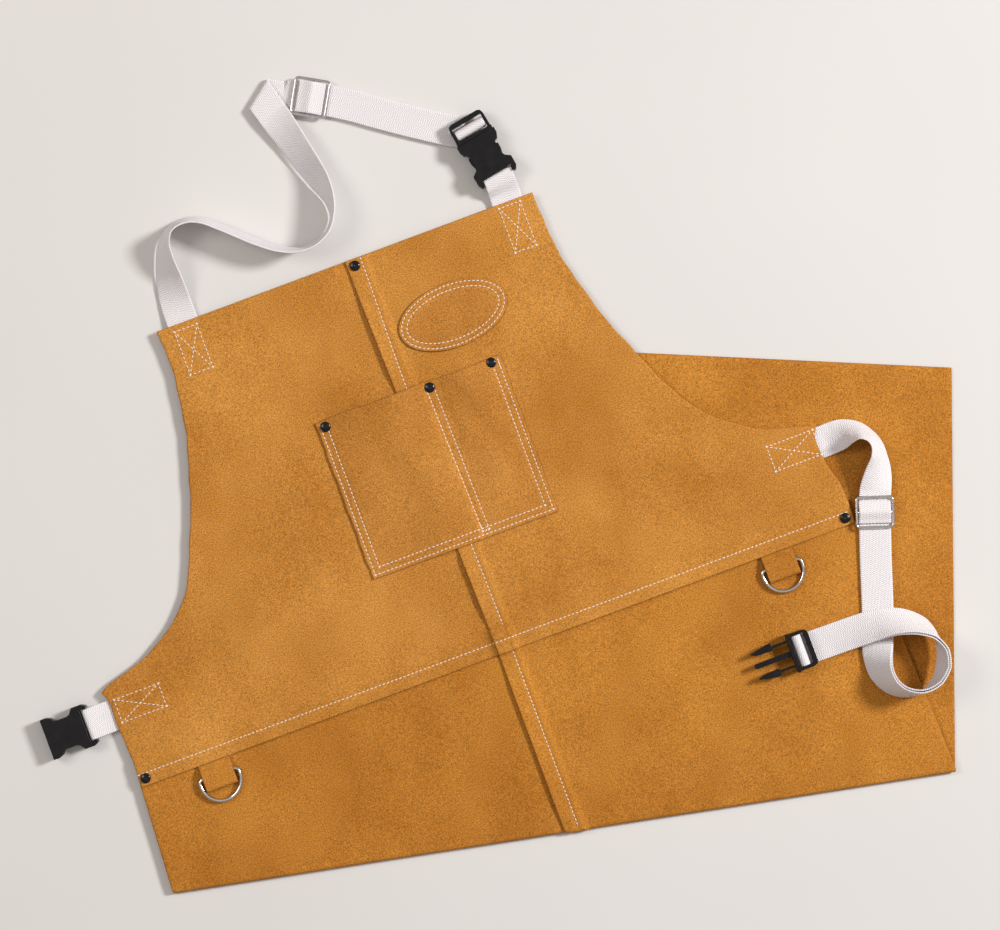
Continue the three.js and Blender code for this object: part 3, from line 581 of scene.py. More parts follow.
def cubic(values, at):
    """A smooth curve through the values, by Catmull-Rom pieces."""
    values = np.asarray(values, float)
    padded = np.concatenate([[2 * values[0] - values[1]], values, [2 * values[-1] - values[-2]]])
    i = np.clip(np.floor(at).astype(int), 0, len(values) - 2)
    t = at - i
    a, b, c, d = padded[i], padded[i + 1], padded[i + 2], padded[i + 3]
    return 0.5 * (2 * b + (c - a) * t + (2 * a - 5 * b + 4 * c - d) * t**2 + (3 * b - a - 3 * c + d) * t**3)


BESIDE_SEAM = (-3, -1.8, -0.9, 0, 0.9, 1.8, 3)
CLOSEST_ROWS = 0.35


def spaced(low, high, step, seams=()):
    """Evenly spaced values with closer ones on both sides of each seam."""
    values = list(np.linspace(low, high, max(3, int(abs(high - low) / step) + 1)))
    for seam in seams:
        if low < seam < high:
            values += [seam + offset for offset in BESIDE_SEAM]
    values = sorted(v for v in values if low <= v <= high)
    kept = [values[0]]
    for value in values[1:]:
        if value - kept[-1] > CLOSEST_ROWS:
            kept.append(value)
    kept[-1] = high
    return np.array(kept)


def raised(surface, thickness=LEATHER):
    """The two faces of a sheet whose middle is given, offset along its normals."""
    du = np.gradient(surface, axis=1)
    dv = np.gradient(surface, axis=0)
    normal = np.cross(du, dv)
    normal /= np.maximum(np.linalg.norm(normal, axis=2, keepdims=True), 1e-12)
    return surface + normal * thickness / 2 * MM, surface - normal * thickness / 2 * MM


def grid_sheet(name, surface, material, thickness=LEATHER):
    top, bottom = raised(surface, thickness)
    return slab_from_grid(name, top, bottom, material)


def bib_corner(y, side):
    """The right half is cut back a little above the waist, where the strap leaves it."""
    if side == "left":
        return 0 * y
    return CORNER_CUT * smooth(y, 14, 58) * (1 - smooth(y, 78, 100))


def bib_panel(side):
    sign = -1 if side == "left" else 1
    ys = spaced(-LAP_BELOW, BIB_HEIGHT, 3.0, seams=[0])
    ys = np.unique(np.concatenate([ys, np.arange(72, 124, 1.2), [-9.2, BIB_HEIGHT - 0.8]]))
    rows = []
    for y in ys:
        inner = CENTRE_LAP if side == "left" else 0.0
        outer = sign * (bib_side(y) - bib_corner(y, side))
        wobble = 0.35 * math.sin(y / 9.0) + 0.25 * math.sin(y / 3.7 + sign)
        columns = inner + (outer + wobble - inner) * parts_from_seam(inner, outer)
        x = columns - lean_at(y)
        rows.append(np.stack([x, np.full_like(x, y), np.zeros_like(x)], axis=1))
    surface = np.array(rows)
    if sign < 0:
        surface = surface[:, ::-1]
    x, y = surface[..., 0], surface[..., 1]
    half = f"bib_{side}"
    surface[..., 2] = sewn_surface(x, y, half)
    return grid_sheet(f"bib_{side}", surface * MM, BIB_LEATHER)


def parts_from_seam(inner, outer, count=96):
    """Places across a panel from 0 to 1, closer together by the centre lap."""
    width = abs(outer - inner)
    near = np.array([0, 0.7, 2, 4, 6, 8, 9.3, 10.2, 11, 11.5, 12, 12.9, 13.9, 15, 16.4, 18, 20.5])
    far = np.linspace(24, width, count)
    return np.sort(np.concatenate([near, far, [width - 0.8]])) / width


def skirt_panel(side):
    """The upper skirt, the roll of the fold and the folded-under lower skirt, as one hide."""
    sign = -1 if side == "left" else 1
    half = f"skirt_{side}"
    tan = math.tan(FOLD_ANGLE)
    outward = np.array([math.sin(FOLD_ANGLE), -math.cos(FOLD_ANGLE)])
    fold_point = np.array([0, -FOLD_DROP])
    inner_up = CENTRE_LAP if side == "left" else 0.0
    seam = CENTRE_LAP / 2 + sign * 0.15
    side_x = sign * (WAIST_HALF + SKIRT_SPREAD)

    def column(part):
        """Unfolded points of one column: waist, fold above and below, and hem."""
        waist = np.array([inner_up + (sign * WAIST_HALF - inner_up) * part, LAP_ABOVE])
        x = inner_up + (side_x - inner_up) * part
        fold = np.array([x, -FOLD_DROP + tan * x])
        low_x = seam + (side_x - seam) * part
        low = np.array([low_x, -FOLD_DROP + tan * low_x])
        hem = np.array([seam + (sign * HEM_HALF - seam) * part, -SKIRT_LENGTH])
        return waist, fold, low, hem

    parts = parts_from_seam(inner_up, side_x, 88)
    upper_steps = np.concatenate([[0, 0.006], np.linspace(0.02, 1, 56)])
    roll_steps = np.linspace(0, math.pi, 10)[1:-1]
    lower_steps = np.concatenate([np.linspace(0, 0.99, 60), [1]])
    columns = []
    for part in parts:
        waist, fold, low, hem = column(part)
        points = []
        for t in upper_steps:
            x, y = waist + (fold - waist) * t
            calm = 1 - 0.75 * smooth(t, 0.93, 1)
            middle = upper_middle(x, y, half) + lap_curl(x, y, half) * (1 - smooth(t, 0.85, 0.98))
            z = middle + (ripple(x, y) - RIPPLE_REST) * calm - seam_groove(x, y, half)
            points.append((x, y, float(z)))
        top_z = points[-1][2]
        radius = (top_z - LOWER_MIDDLE) / 2
        for angle in roll_steps:
            place = fold + (low - fold) * angle / math.pi + outward * radius * math.sin(angle)
            points.append((*place, LOWER_MIDDLE + radius * (1 + math.cos(angle))))
        for t in lower_steps:
            flat = low + (hem - low) * t
            offset = flat - fold_point
            place = flat - 2 * outward * offset.dot(outward)
            points.append((*place, LOWER_MIDDLE))
        columns.append(points)
    surface = np.array(columns).transpose(1, 0, 2)[::-1]
    if sign < 0:
        surface = surface[:, ::-1]
    return grid_sheet(half, surface * MM, SKIRT_LEATHER)


bib_left = bib_panel("left")
bib_right = bib_panel("right")
skirt_left = skirt_panel("left")
skirt_right = skirt_panel("right")


# ---- pocket and oval patch ---------------------------------------------------------------
def divider_rows(y):
    """The two rows of the pocket's divider, which lean a little."""
    down = (POCKET[3] - y) / (POCKET[3] - POCKET[2])
    return 19.4 + 3.0 * down, 25.6 + 2.3 * down


def pocket_bulge(x, y):
    """How far the pocket's two compartments stand off the bib."""
    rise = 0.0
    for left, right, height in ((-68, 18, 3.1), (31, 79, 2.5)):
        part = np.clip((x - left) / (right - left), 0, 1)
        mouth = 0.35 + 0.65 * smooth(y, 90, 205)
        rise = rise + height * np.sin(math.pi * part) ** 0.75 * mouth
    folds = np.sin((x * 0.9 + y * 0.42) / 8.6) * bump(x + 0.45 * (y - 150) + 18, 30)
    folds = folds + 0.8 * np.sin((x + 0.5 * y) / 6.1 + 1.4) * bump(x + 0.3 * (y - 170) - 55, 17)
    rise = np.maximum(rise + 0.5 * folds * np.clip(rise / 1.5, 0, 1), 0)
    return rise * smooth(y, 88, 112)


def pocket_groove(x, y):
    left, right, low = POCKET[:3]
    lines = []
    for inset in POCKET_ROWS:
        lines += [bump(x - (left + inset), 1.0), bump(x - (right - inset), 1.0)]
        lines.append(bump(y - (low + inset), 1.0))
    lines += [bump(x - row_x, 1.0) for row_x in divider_rows(y)]
    return 0.32 * np.minimum(1, sum(lines))


def pocket_top(x, y):
    """Height of the pocket's outer face."""
    shifted = x + lean_at(y)
    over_lap = smooth(x, -34, -6) * (1 - smooth(shifted, 18.9, 25))
    base = PANEL_MIDDLE + LEVEL * over_lap + ripple(x, y) - RIPPLE_REST + LEATHER / 2
    return base + LEATHER + 0.15 + pocket_bulge(x, y) - pocket_groove(x, y)


def make_pocket():
    left, right, low, high = POCKET
    outer, inner = POCKET_ROWS
    seams_x = [left + outer, left + inner, 20, 28, right - inner, right - outer]
    xs = spaced(left, right, 1.7, seams_x)
    ys = spaced(low, high, 2.2, [low + outer, low + inner])
    x, y = np.meshgrid(xs, ys)
    fray = 0.3 * np.sin(y / 6.0) + 0.2 * np.sin(y / 2.3)
    edge = smooth(np.abs(x - (left + right) / 2), 60, (right - left) / 2)
    surface = np.stack([x + fray * edge, y, pocket_top(x, y) - LEATHER / 2], axis=2)
    surface[-1, :, 1] += 0.5 * np.sin(xs / 11.0)
    return grid_sheet("pocket_leather", surface * MM, POCKET_LEATHER)


def patch_place(radius, angle, grow=0.0):
    """A place on the oval patch: radius 0 to 1 of its edge, moved in or out by grow."""
    u = (PATCH_HALF[0] + grow) * radius * math.cos(angle)
    v = (PATCH_HALF[1] + grow) * radius * math.sin(angle)
    cos, sin = math.cos(PATCH_TURN), math.sin(PATCH_TURN)
    return PATCH_CENTRE[0] + u * cos - v * sin, PATCH_CENTRE[1] + u * sin + v * cos


def patch_top(x, y, inset):
    groove = sum(0.28 * bump(inset - row, 0.9) for row in PATCH_ROWS)
    crown = 0.5 * smooth(inset, 7, 22)
    return top_of(x, y) + LEATHER + 0.1 - groove + crown


def make_patch():
    insets = [0, 0.5, 1.3, 2.2, 3.1, 4.2, 5.6, 6.5, 7.4, 9, 12, 16, 20, 23.5]
    count = 128
    thickness = LEATHER - 0.1
    vertices, faces, edge = [], [], []
    for layer in (0, 1):
        for k, inset in enumerate(insets):
            for i in range(count):
                angle = 2 * math.pi * i / count
                x, y = patch_place(1, angle, -inset)
                top = float(patch_top(x, y, inset)) - (0.25 if k == 0 else 0)
                vertices.append((x * MM, y * MM, (top - layer * thickness) * MM))
                edge.append(1.0 if k == 0 else 0.0)
        x, y = PATCH_CENTRE
        top = float(patch_top(x, y, 25))
        vertices.append((x * MM, y * MM, (top - layer * thickness) * MM))
        edge.append(0.0)
    size = len(insets) * count + 1
    for layer in (0, 1):
        base = layer * size
        for k in range(len(insets) - 1):
            faces += band(base + k * count, base + (k + 1) * count, count)
        last = base + (len(insets) - 1) * count
        for i in range(count):
            faces.append((last + i, last + (i + 1) % count, base + size - 1))
    for i in range(count):
        j = (i + 1) % count
        faces.append((i, size + i, size + j, j))
    return fix_normals(new_object("oval_patch_leather", vertices, faces, POCKET_LEATHER, edge=edge))


pocket = make_pocket()
patch = make_patch()


# ---- round wire, turned pieces and tabs --------------------------------------------------
def tube(path, radius, closed=False, sides=12):
    """Vertices and faces of round wire along a path of points, in the path's own units."""
    path = np.asarray(path, float)
    count = len(path)
    ahead = np.roll(path, -1, axis=0) if closed else np.vstack([path[1:], 2 * path[-1] - path[-2]])
    behind = np.roll(path, 1, axis=0) if closed else np.vstack([2 * path[0] - path[1], path[:-1]])
    tangent = ahead - behind
    tangent /= np.linalg.norm(tangent, axis=1, keepdims=True)
    up = np.tile([0.0, 0.0, 1.0], (count, 1))
    side = np.cross(tangent, up)
    side /= np.linalg.norm(side, axis=1, keepdims=True)
    up = np.cross(side, tangent)
    vertices, faces = [], []
    for k in range(count):
        for i in range(sides):
            angle = 2 * math.pi * i / sides
            vertices.append(path[k] + radius * (side[k] * math.cos(angle) + up[k] * math.sin(angle)))
    for k in range(count if closed else count - 1):
        faces += band(k * sides, (k + 1) % count * sides, sides)
    if not closed:
        faces.append(tuple(range(sides)))
        faces.append(tuple(reversed(range((count - 1) * sides, count * sides))))
    return vertices, faces


def turned(profile, x, y, sides=40):
    """A turned piece from a closed profile of (radius, height), on a vertical axis."""
    vertices, faces = [], []
    count = len(profile)
    for i in range(sides):
        angle = 2 * math.pi * i / sides
        for radius, height in profile:
            vertices.append((x + radius * math.cos(angle), y + radius * math.sin(angle), height))
    for i in range(sides):
        j = (i + 1) % sides
        for k in range(count):
            n = (k + 1) % count
            faces.append((i * count + k, j * count + k, j * count + n, i * count + n))
    return vertices, faces


def solid_from(name, pieces, material, matrix=None):
    """One object from several (vertices, faces) in millimetres."""
    vertices, faces = [], []
    for part_vertices, part_faces in pieces:
        base = len(vertices)
        vertices += [Vector(v) for v in part_vertices]
        faces += [tuple(index + base for index in face) for face in part_faces]
    if matrix is not None:
        vertices = [matrix @ v for v in vertices]
    return fix_normals(new_object(name, [v * MM for v in vertices], faces, material))


def placed(x, y, z, turn=0.0):
    return Matrix.Translation((x, y, z)) @ Matrix.Rotation(turn, 4, "Z")


def ring_path():
    """The D-ring about its straight bar, its bow towards -Y."""
    half, corner, shoulder = 16.5, 3.2, 5.0
    points = [(x, 0, 0) for x in np.linspace(-half + corner, half - corner, 14)]
    points += [(half - corner + corner * math.sin(a), -corner + corner * math.cos(a), 0)
               for a in np.linspace(0.2, math.pi / 2, 6)]
    points += [(half, y, 0) for y in (-3.6, -shoulder + 0.2)]
    points += [(half * math.cos(a), -shoulder - half * math.sin(a), 0)
               for a in np.linspace(0.06, math.pi - 0.06, 40)]
    points += [(-half, y, 0) for y in (-shoulder + 0.2, -3.6)]
    points += [(-half + corner - corner * math.sin(a), -corner + corner * math.cos(a), 0)
               for a in np.linspace(math.pi / 2, 0.2, 6)]
    return points


rings = {}
for ring_side, ring_x in TAB_PLACES.items():
    rings[ring_side] = solid_from(
        f"dring_wire_{ring_side}",
        [tube(ring_path(), RING_WIRE / 2, closed=True, sides=16)],
        NICKEL,
        placed(ring_x, *RING_BAR),
    )


def tab_layer():
    """Middle line of the folded tab, seen from the side: (y, z), round the bar of the D-ring."""
    end, edge = -32.5, -10.4
    low, high = 6.6, 11.5
    points = [(y, low) for y in np.linspace(edge, end + 3.2, 12)]
    radius = (high - low) / 2
    centre = end + 3.2
    points += [(centre - radius * math.sin(a), (low + high) / 2 - radius * math.cos(a))
               for a in np.linspace(0.25, math.pi - 0.25, 9)]
    points += [(y, high) for y in np.linspace(centre, -18, 7)]
    points += [(-16, high - 0.7), (-14, high - 2.0), (-12.4, high - 2.9), (edge, high - 3.25)]
    return points


def make_tab(side):
    x = TAB_PLACES[side]
    half = TAB_WIDTH / 2
    across = np.concatenate([[-half, -12.4, -11.4], np.linspace(-10.2, 10.2, 17), [11.4, 12.4, half]])
    rows = []
    for y, z in tab_layer():
        crown = 0.25 * (1 - (across / half) ** 2)
        lift = crown if z > 8 else np.zeros_like(across)
        rows.append(np.stack([x + across, np.full_like(across, y), z + lift], axis=1))
    surface = np.array(rows)[::-1]
    return grid_sheet(f"dring_tab_leather_{side}", surface * MM, SKIRT_LEATHER, TAB_LEATHER)


tabs = {side: make_tab(side) for side in TAB_PLACES}

CAP_TOP = 9.4
CAP_PROFILE = [
    (0.02, 7.6), (2.3, 7.6), (4.0, 7.78), (4.17, 7.95), (4.15, 8.2), (3.95, 8.5), (3.5, 8.82),
    (2.9, 9.05), (2.2, 9.2), (2.0, 9.3), (1.2, 9.38), (0.02, CAP_TOP),
]
BACK_PROFILE = [(2.1, 2.55), (3.9, 2.5), (4.15, 2.7), (4.15, 3.1), (3.9, 3.4), (2.1, 3.4)]
rivets = []
for rivet_name, (rivet_x, rivet_y) in RIVETS.items():
    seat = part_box(f"rivet_{rivet_name}_cap")
    top = seat[1][2] / MM
    cap = [(radius, height + top - CAP_TOP) for radius, height in CAP_PROFILE]
    shank = [(0.02, 2.8), (1.9, 2.8), (1.9, top - 1.2), (0.02, top - 1.2)]
    rivets.append(solid_from(
        f"rivet_{rivet_name}",
        [turned(cap, rivet_x, rivet_y), turned(shank, rivet_x, rivet_y, 20),
         turned(BACK_PROFILE, rivet_x, rivet_y)],
        RIVET_BLACK,
    ))


# ---- webbing -----------------------------------------------------------------------------
UNDER_BIB = 2.75  # middle of the webbing above the floor: sewn under the bib
ON_FLOOR = 2.9  # over its own second layer on the floor
ON_SKIRT = 8.4  # and over it on the skirt


def knots_of(points):
    """Centripetal spacing of a curve's points, with the ends carried on."""
    points = np.vstack([2 * points[0] - points[1], points, 2 * points[-1] - points[-2]])
    gaps = np.sqrt(np.maximum(np.linalg.norm(np.diff(points, axis=0), axis=1), 1e-4))
    return points, gaps


def curve_point(points, gaps, row, part):
    """Position and direction on a centripetal curve, part of the way from a row to the next."""
    a, b, c, d = points[row:row + 4]
    first, middle, last = gaps[row:row + 3]
    start = ((b - a) / first - (c - a) / (first + middle) + (c - b) / middle) * middle
    finish = ((c - b) / middle - (d - b) / (middle + last) + (d - c) / last) * middle
    t = part
    place = ((2 * t**3 - 3 * t**2 + 1) * b + (t**3 - 2 * t**2 + t) * start
             + (3 * t**2 - 2 * t**3) * c + (t**3 - t**2) * finish)
    slope = ((6 * t**2 - 6 * t) * b + (3 * t**2 - 4 * t + 1) * start
             + (6 * t - 6 * t**2) * c + (3 * t**2 - 2 * t) * finish)
    return place, slope / np.linalg.norm(slope)


def strap_frames(rows, step=2.2):
    """Stations along a strap: its middle, the direction of its right edge and its face."""
    middles = np.array([row[:3] for row in rows], float)
    points, gaps = knots_of(middles)
    edges = []
    for i, row in enumerate(rows):
        tilt = math.radians(row[3])
        back, ahead = middles[max(i - 1, 0)], middles[min(i + 1, len(rows) - 1)]
        heading = math.atan2(ahead[1] - back[1], ahead[0] - back[0]) - math.pi / 2
        side = heading if len(row) < 5 else math.radians(row[4])
        edges.append((math.cos(tilt) * math.cos(side), math.cos(tilt) * math.sin(side), math.sin(tilt)))
    edges = np.array(edges)
    frames = []
    for i in range(len(rows) - 1):
        length = np.linalg.norm(middles[i + 1] - middles[i])
        pieces = max(2, int(length / step))
        for k in range(pieces):
            part = k / pieces
            edge = edges[i] * (1 - part) + edges[i + 1] * part
            edge = edge / np.linalg.norm(edge)
            place, tangent = curve_point(points, gaps, i, part)
            face = np.cross(edge, tangent)
            frames.append((place, edge, face / np.linalg.norm(face)))
    place, tangent = curve_point(points, gaps, len(rows) - 2, 1.0)
    face = np.cross(edges[-1], tangent)
    frames.append((place, edges[-1], face / np.linalg.norm(face)))
    return frames


def web_section():
    """The outline of the webbing across its width: (from the middle, above the middle)."""
    half, thick = WEB_WIDTH / 2, WEB_THICKNESS / 2
    across = np.concatenate([[-half + 0.15, -half + 0.6], np.linspace(-half + 1.6, half - 1.6, 11),
                             [half - 0.6, half - 0.15]])
    heights = np.full(len(across), thick)
    heights[[0, -1]] = thick * 0.62
    heights[[1, -2]] = thick * 0.95
    top = list(zip(across, heights))
    return top + [(half, 0.0)] + [(y, -z) for y, z in reversed(top)] + [(-half, 0.0)]


def webbing_from(name, stations, matrix=None):
    """Closed webbing through stations that each give a point for (across, above)."""
    section = web_section()
    count = len(section)
    vertices, uv, faces = [], [], []
    travelled = 0.0
    previous = None
    for station in stations:
        middle = np.array(station(0.0, 0.0))
        if previous is not None:
            travelled += float(np.linalg.norm(middle - previous))
        previous = middle
        for y, z in section:
            vertices.append(Vector(station(y, z)))
            uv.append((y / WEB_WIDTH + 0.5, travelled * MM))
    for k in range(len(stations) - 1):
        faces += band(k * count, (k + 1) * count, count)
    faces.append(tuple(reversed(range(count))))
    faces.append(tuple(range((len(stations) - 1) * count, len(stations) * count)))
    if matrix is not None:
        vertices = [matrix @ v for v in vertices]
    obj = new_object(name, [v * MM for v in vertices], faces, WEBBING, uv=uv)
    return fix_normals(obj, merge=False), round(travelled * MM, 4)


def plain_stations(rows, lower=0.0, flip=1, step=2.2):
    def station(frame_of):
        place, edge, face = frame_of
        return lambda y, z: place - edge * y * flip + face * (z * flip - lower)

    return [station(item) for item in strap_frames(rows, step)]


ROLL_PLACE = (-23.5, 474.5)
ROLL_LINE = math.radians(37.9)
ROLL_HEADING = math.radians(105.1)
ROLL_RADIUS = 2
ROLL_TOP = 5.1
ROLL_BEFORE = 17
ROLL_AFTER = 24


def roll_point(along, left, high):
    """A point of the strap where it rolls over itself along a slanting line."""
    x = along * math.cos(ROLL_HEADING) - left * math.sin(ROLL_HEADING)
    y = along * math.sin(ROLL_HEADING) + left * math.cos(ROLL_HEADING)
    beside = x * math.cos(ROLL_LINE) + y * math.sin(ROLL_LINE)
    past = y * math.cos(ROLL_LINE) - x * math.sin(ROLL_LINE)
    turn = min(max(past / ROLL_RADIUS, 0), math.pi)
    straight = past - turn * ROLL_RADIUS
    out = (ROLL_RADIUS + high) * math.sin(turn) + straight * math.cos(turn)
    return np.array((
        ROLL_PLACE[0] + beside * math.cos(ROLL_LINE) - out * math.sin(ROLL_LINE),
        ROLL_PLACE[1] + beside * math.sin(ROLL_LINE) + out * math.cos(ROLL_LINE),
        ROLL_TOP - ROLL_RADIUS + (ROLL_RADIUS + high) * math.cos(turn),
    ))


NECK_RISE = [
    (-144.4, 292, UNDER_BIB, 0), (-144.4, 328, UNDER_BIB, 0), (-144.2, 343, 3.2, 8), (-142.5, 360, 7.2, 28),
    (-140, 377, 11.0, 50), (-135.5, 391, 12.4, 64), (-127, 399.5, 13.2, 74), (-114, 401.5, 13.4, 76),
    (-102, 397.5, 13.4, 76), (-88, 386, 13.4, 76), (-66, 365.5, 13.4, 76), (-51.5, 354.5, 13.5, 76),
    (-38, 348.5, 13.5, 77), (-24, 348, 13.5, 78), (-10.7, 353.5, 13.6, 80), (-2.5, 364, 13.7, 81),
    (0, 377, 12.9, 70), (-2.5, 394, 10.8, 48), (-7, 412, 9.6, 36), (-12, 432, 9.0, 28), (-16, 447, 7.2, 14),
]
NECK_RUN = [
    (-1, 466.8, 2.3, 0), (14, 459.4, ON_FLOOR, 0), (27, 452, ON_FLOOR, 0), (44, 441, ON_FLOOR, 0),
    (62, 428, ON_FLOOR, 0), (80, 415.4, ON_FLOOR, 0), (98, 403.4, ON_FLOOR, 0), (109, 396.3, ON_FLOOR, 0),
    (119, 391, ON_FLOOR, 0),
]
WAIST_RISE = [
    (266, 59.3, UNDER_BIB, 0), (285, 59.3, UNDER_BIB, 0), (299, 59.3, UNDER_BIB, 0),
    (306, 59.4, UNDER_BIB + 0.3, 0), (315.5, 59.8, 6.4, 14), (323.5, 60, 11.2, 40), (331.5, 57.5, 14.2, 58),
    (337.5, 51, 14.9, 66), (340.3, 43, 14.6, 64), (339, 33, 13.6, 54), (334.5, 22, 10.6, 30),
    (327, 8, ON_SKIRT, 0),
]
WAIST_RUN = [
    (320.5, -7.7, ON_SKIRT, 0), (314.8, -24.5, ON_SKIRT, 0), (308, -44.1, ON_SKIRT, 0),
    (301.5, -64, ON_SKIRT, 0), (294.9, -83.7, ON_SKIRT, 0), (290.3, -96, 9.6, -5), (285.2, -107, 12.9, -20),
    (281, -118, 16.5, -38), (279.6, -130, 18.6, -50), (284, -143, 20.1, -64), (293.5, -151.6, 20.8, -75),
    (307, -155, 21.2, -86), (320, -150.5, 21.2, -98), (329, -140.5, 21, -106), (333, -128, 21, -100),
    (331.5, -115.5, 21.4, -82), (324.5, -105, 21.2, -62), (313, -97, 20.6, -46), (300, -92.6, 19.2, -32),
    (284, -91.4, 15.8, -15), (268, -91.2, 12.4, -5), (252, -91.2, 10.2, 0), (236, -91, 9.2, 0),
    (222, -90.4, 9.2, 0),
]


def neck_stations():
    entry = (*roll_point(-ROLL_BEFORE, 0, 0), 0)
    leave = (*roll_point(ROLL_AFTER, 0, 0), 0)
    rise = plain_stations([*NECK_RISE, entry])[:-1]
    rolled = []
    for along in np.linspace(-ROLL_BEFORE, ROLL_AFTER, 76):
        rolled.append(lambda y, z, along=along: roll_point(along, y, z))
    before = (*roll_point(ROLL_AFTER - 1.5, 0, 0), 0)
    run = plain_stations([before, leave, *NECK_RUN], flip=-1)
    return rise + rolled + run[3:]


def stub_rows(bar, start, heading, sewn_across, bar_across):
    """A doubled stub: from below the leather, round the bar of a socket and back underneath."""
    reach = STUB_REACH
    distance = math.hypot(bar[0] - start[0], bar[1] - start[1])
    second = UNDER_BIB - WEB_LAYER + 0.05
    rows = [
        (0, UNDER_BIB), (distance - 24, UNDER_BIB), (distance - 14, UNDER_BIB + 1.2),
        (distance - 6, bar[2] + reach - 1.6), (distance, bar[2] + reach),
        (distance + reach * 0.72, bar[2] + reach * 0.72), (distance + reach, bar[2]),
        (distance + reach * 0.72, bar[2] - reach * 0.72), (distance, bar[2] - reach),
        (distance - 6, bar[2] - reach - 0.6), (distance - 16, second + 0.1), (distance - 24, second),
        (2, second),
    ]
    cos, sin = math.cos(heading), math.sin(heading)
    return [
        (start[0] + cos * along, start[1] + sin * along, z, 0,
         bar_across if along > distance - 10 else sewn_across)
        for along, z in rows
    ]


def slide_bight_rows(length):
    reach = SLIDE_REACH
    foot = -SLIDE_WIRE / 2 + WEB_THICKNESS / 2 + 0.1
    end = length / 2 - SLIDE_WIRE - 2
    return [
        (-end, 0, foot, 0), (-end * 0.62, 0, foot + 0.7, 0), (-reach * 0.8, 0, reach * 0.82, 0),
        (0, 0, reach + 0.05, 0), (reach * 0.8, 0, reach * 0.82, 0), (end * 0.62, 0, foot + 0.7, 0),
        (end, 0, foot, 0),
    ]


def plug_bight_rows(leg):
    rows = [(-12, leg), (-11.8, -1.2), (-10.6, 1.9), (-8.1, 3.0), (-5.6, 1.9), (-4.7, -1.2), (-4.6, leg)]
    return [(x, 0, z, 0, -90) for x, z in rows]


NECK_BUCKLE = (126, 383.2, 9, math.radians(-79.9))
WAIST_SOCKET = (-361.7, 51.8, 5.5, 0)
WAIST_PLUG = (218.4, -90, 13.5, math.pi)
SOCKET_BAR_AT = 36
STUB_REACH = 1.5 + 0.3 + WEB_THICKNESS / 2
SLIDE_REACH = 2.15
SLIDE_WIRE = 2.4
SLIDE_BAR = 2.3
SLIDE_LENGTH = {"neck": 30, "waist": 26.5}
SLIDE_ACROSS = 31.4


def slide_place(rows, at):
    x, y, z = rows[at][:3]
    ahead = rows[at + 1]
    return placed(x, y, z + SLIDE_REACH, math.atan2(ahead[1] - y, ahead[0] - x))


neck_bar = (
    NECK_BUCKLE[0] + SOCKET_BAR_AT * math.cos(NECK_BUCKLE[3]),
    NECK_BUCKLE[1] + SOCKET_BAR_AT * math.sin(NECK_BUCKLE[3]),
    NECK_BUCKLE[2],
)
NECK_STUB_START = (132.5, 290)
neck_heading = math.atan2(neck_bar[1] - NECK_STUB_START[1], neck_bar[0] - NECK_STUB_START[0])
waist_bar = (WAIST_SOCKET[0] + SOCKET_BAR_AT, WAIST_SOCKET[1], WAIST_SOCKET[2])

neck_slide_at = slide_place(NECK_RUN, 1)
waist_slide_at = slide_place(WAIST_RUN, 0)
webbing = {
    "neck_strap": webbing_from("neck_webbing", neck_stations()),
    "neck_strap_return": webbing_from("neck_return_webbing", plain_stations(NECK_RUN[1:], WEB_LAYER)),
    "waist_strap": webbing_from("waist_webbing", plain_stations([*WAIST_RISE, *WAIST_RUN])),
    "waist_strap_return": webbing_from("waist_return_webbing", plain_stations(WAIST_RUN, WEB_LAYER)),
    "neck_stub": webbing_from("neck_stub_webbing", plain_stations(
        stub_rows(neck_bar, NECK_STUB_START, neck_heading, 0, 10.1), step=0.9)),
    "waist_stub": webbing_from("waist_stub_webbing", plain_stations(
        stub_rows(waist_bar, (-266, 51.8), math.pi, 90, 90), step=0.9)),
    "neck_slide_bight": webbing_from("neck_slide_webbing", plain_stations(
        slide_bight_rows(SLIDE_LENGTH["neck"]), step=0.7), neck_slide_at),
    "waist_slide_bight": webbing_from("waist_slide_webbing", plain_stations(
        slide_bight_rows(SLIDE_LENGTH["waist"]), step=0.7), waist_slide_at),
    "neck_plug_bight": webbing_from("neck_plug_webbing", plain_stations(
        plug_bight_rows(-5.05), step=0.7), placed(*NECK_BUCKLE)),
    "waist_plug_bight": webbing_from("waist_plug_webbing", plain_stations(
        plug_bight_rows(-3.25), step=0.7), placed(*WAIST_PLUG)),
}


# ---- slides and buckles ------------------------------------------------------------------
def make_slide(name, length, matrix):
    """A flat wire frame with rounded corners and a bar across its middle."""
    half_x, half_y, corner = length / 2 - SLIDE_WIRE / 2, SLIDE_ACROSS / 2 - SLIDE_WIRE / 2, 2.6
    path = []
    for centre_x, centre_y, start in ((half_x, half_y, 0), (-half_x, half_y, 90), (-half_x, -half_y, 180),
                                      (half_x, -half_y, 270)):
        middle_x = centre_x - math.copysign(corner, centre_x)
        middle_y = centre_y - math.copysign(corner, centre_y)
        for angle in np.radians(np.linspace(start, start + 90, 8)):
            path.append((middle_x + corner * math.cos(angle), middle_y + corner * math.sin(angle), 0))
    bar = [(0, y, 0) for y in np.linspace(-half_y, half_y, 12)]
    frame_wire = tube(path, SLIDE_WIRE / 2, closed=True, sides=14)
    return solid_from(name, [frame_wire, tube(bar, SLIDE_BAR / 2, sides=14)], NICKEL, matrix)


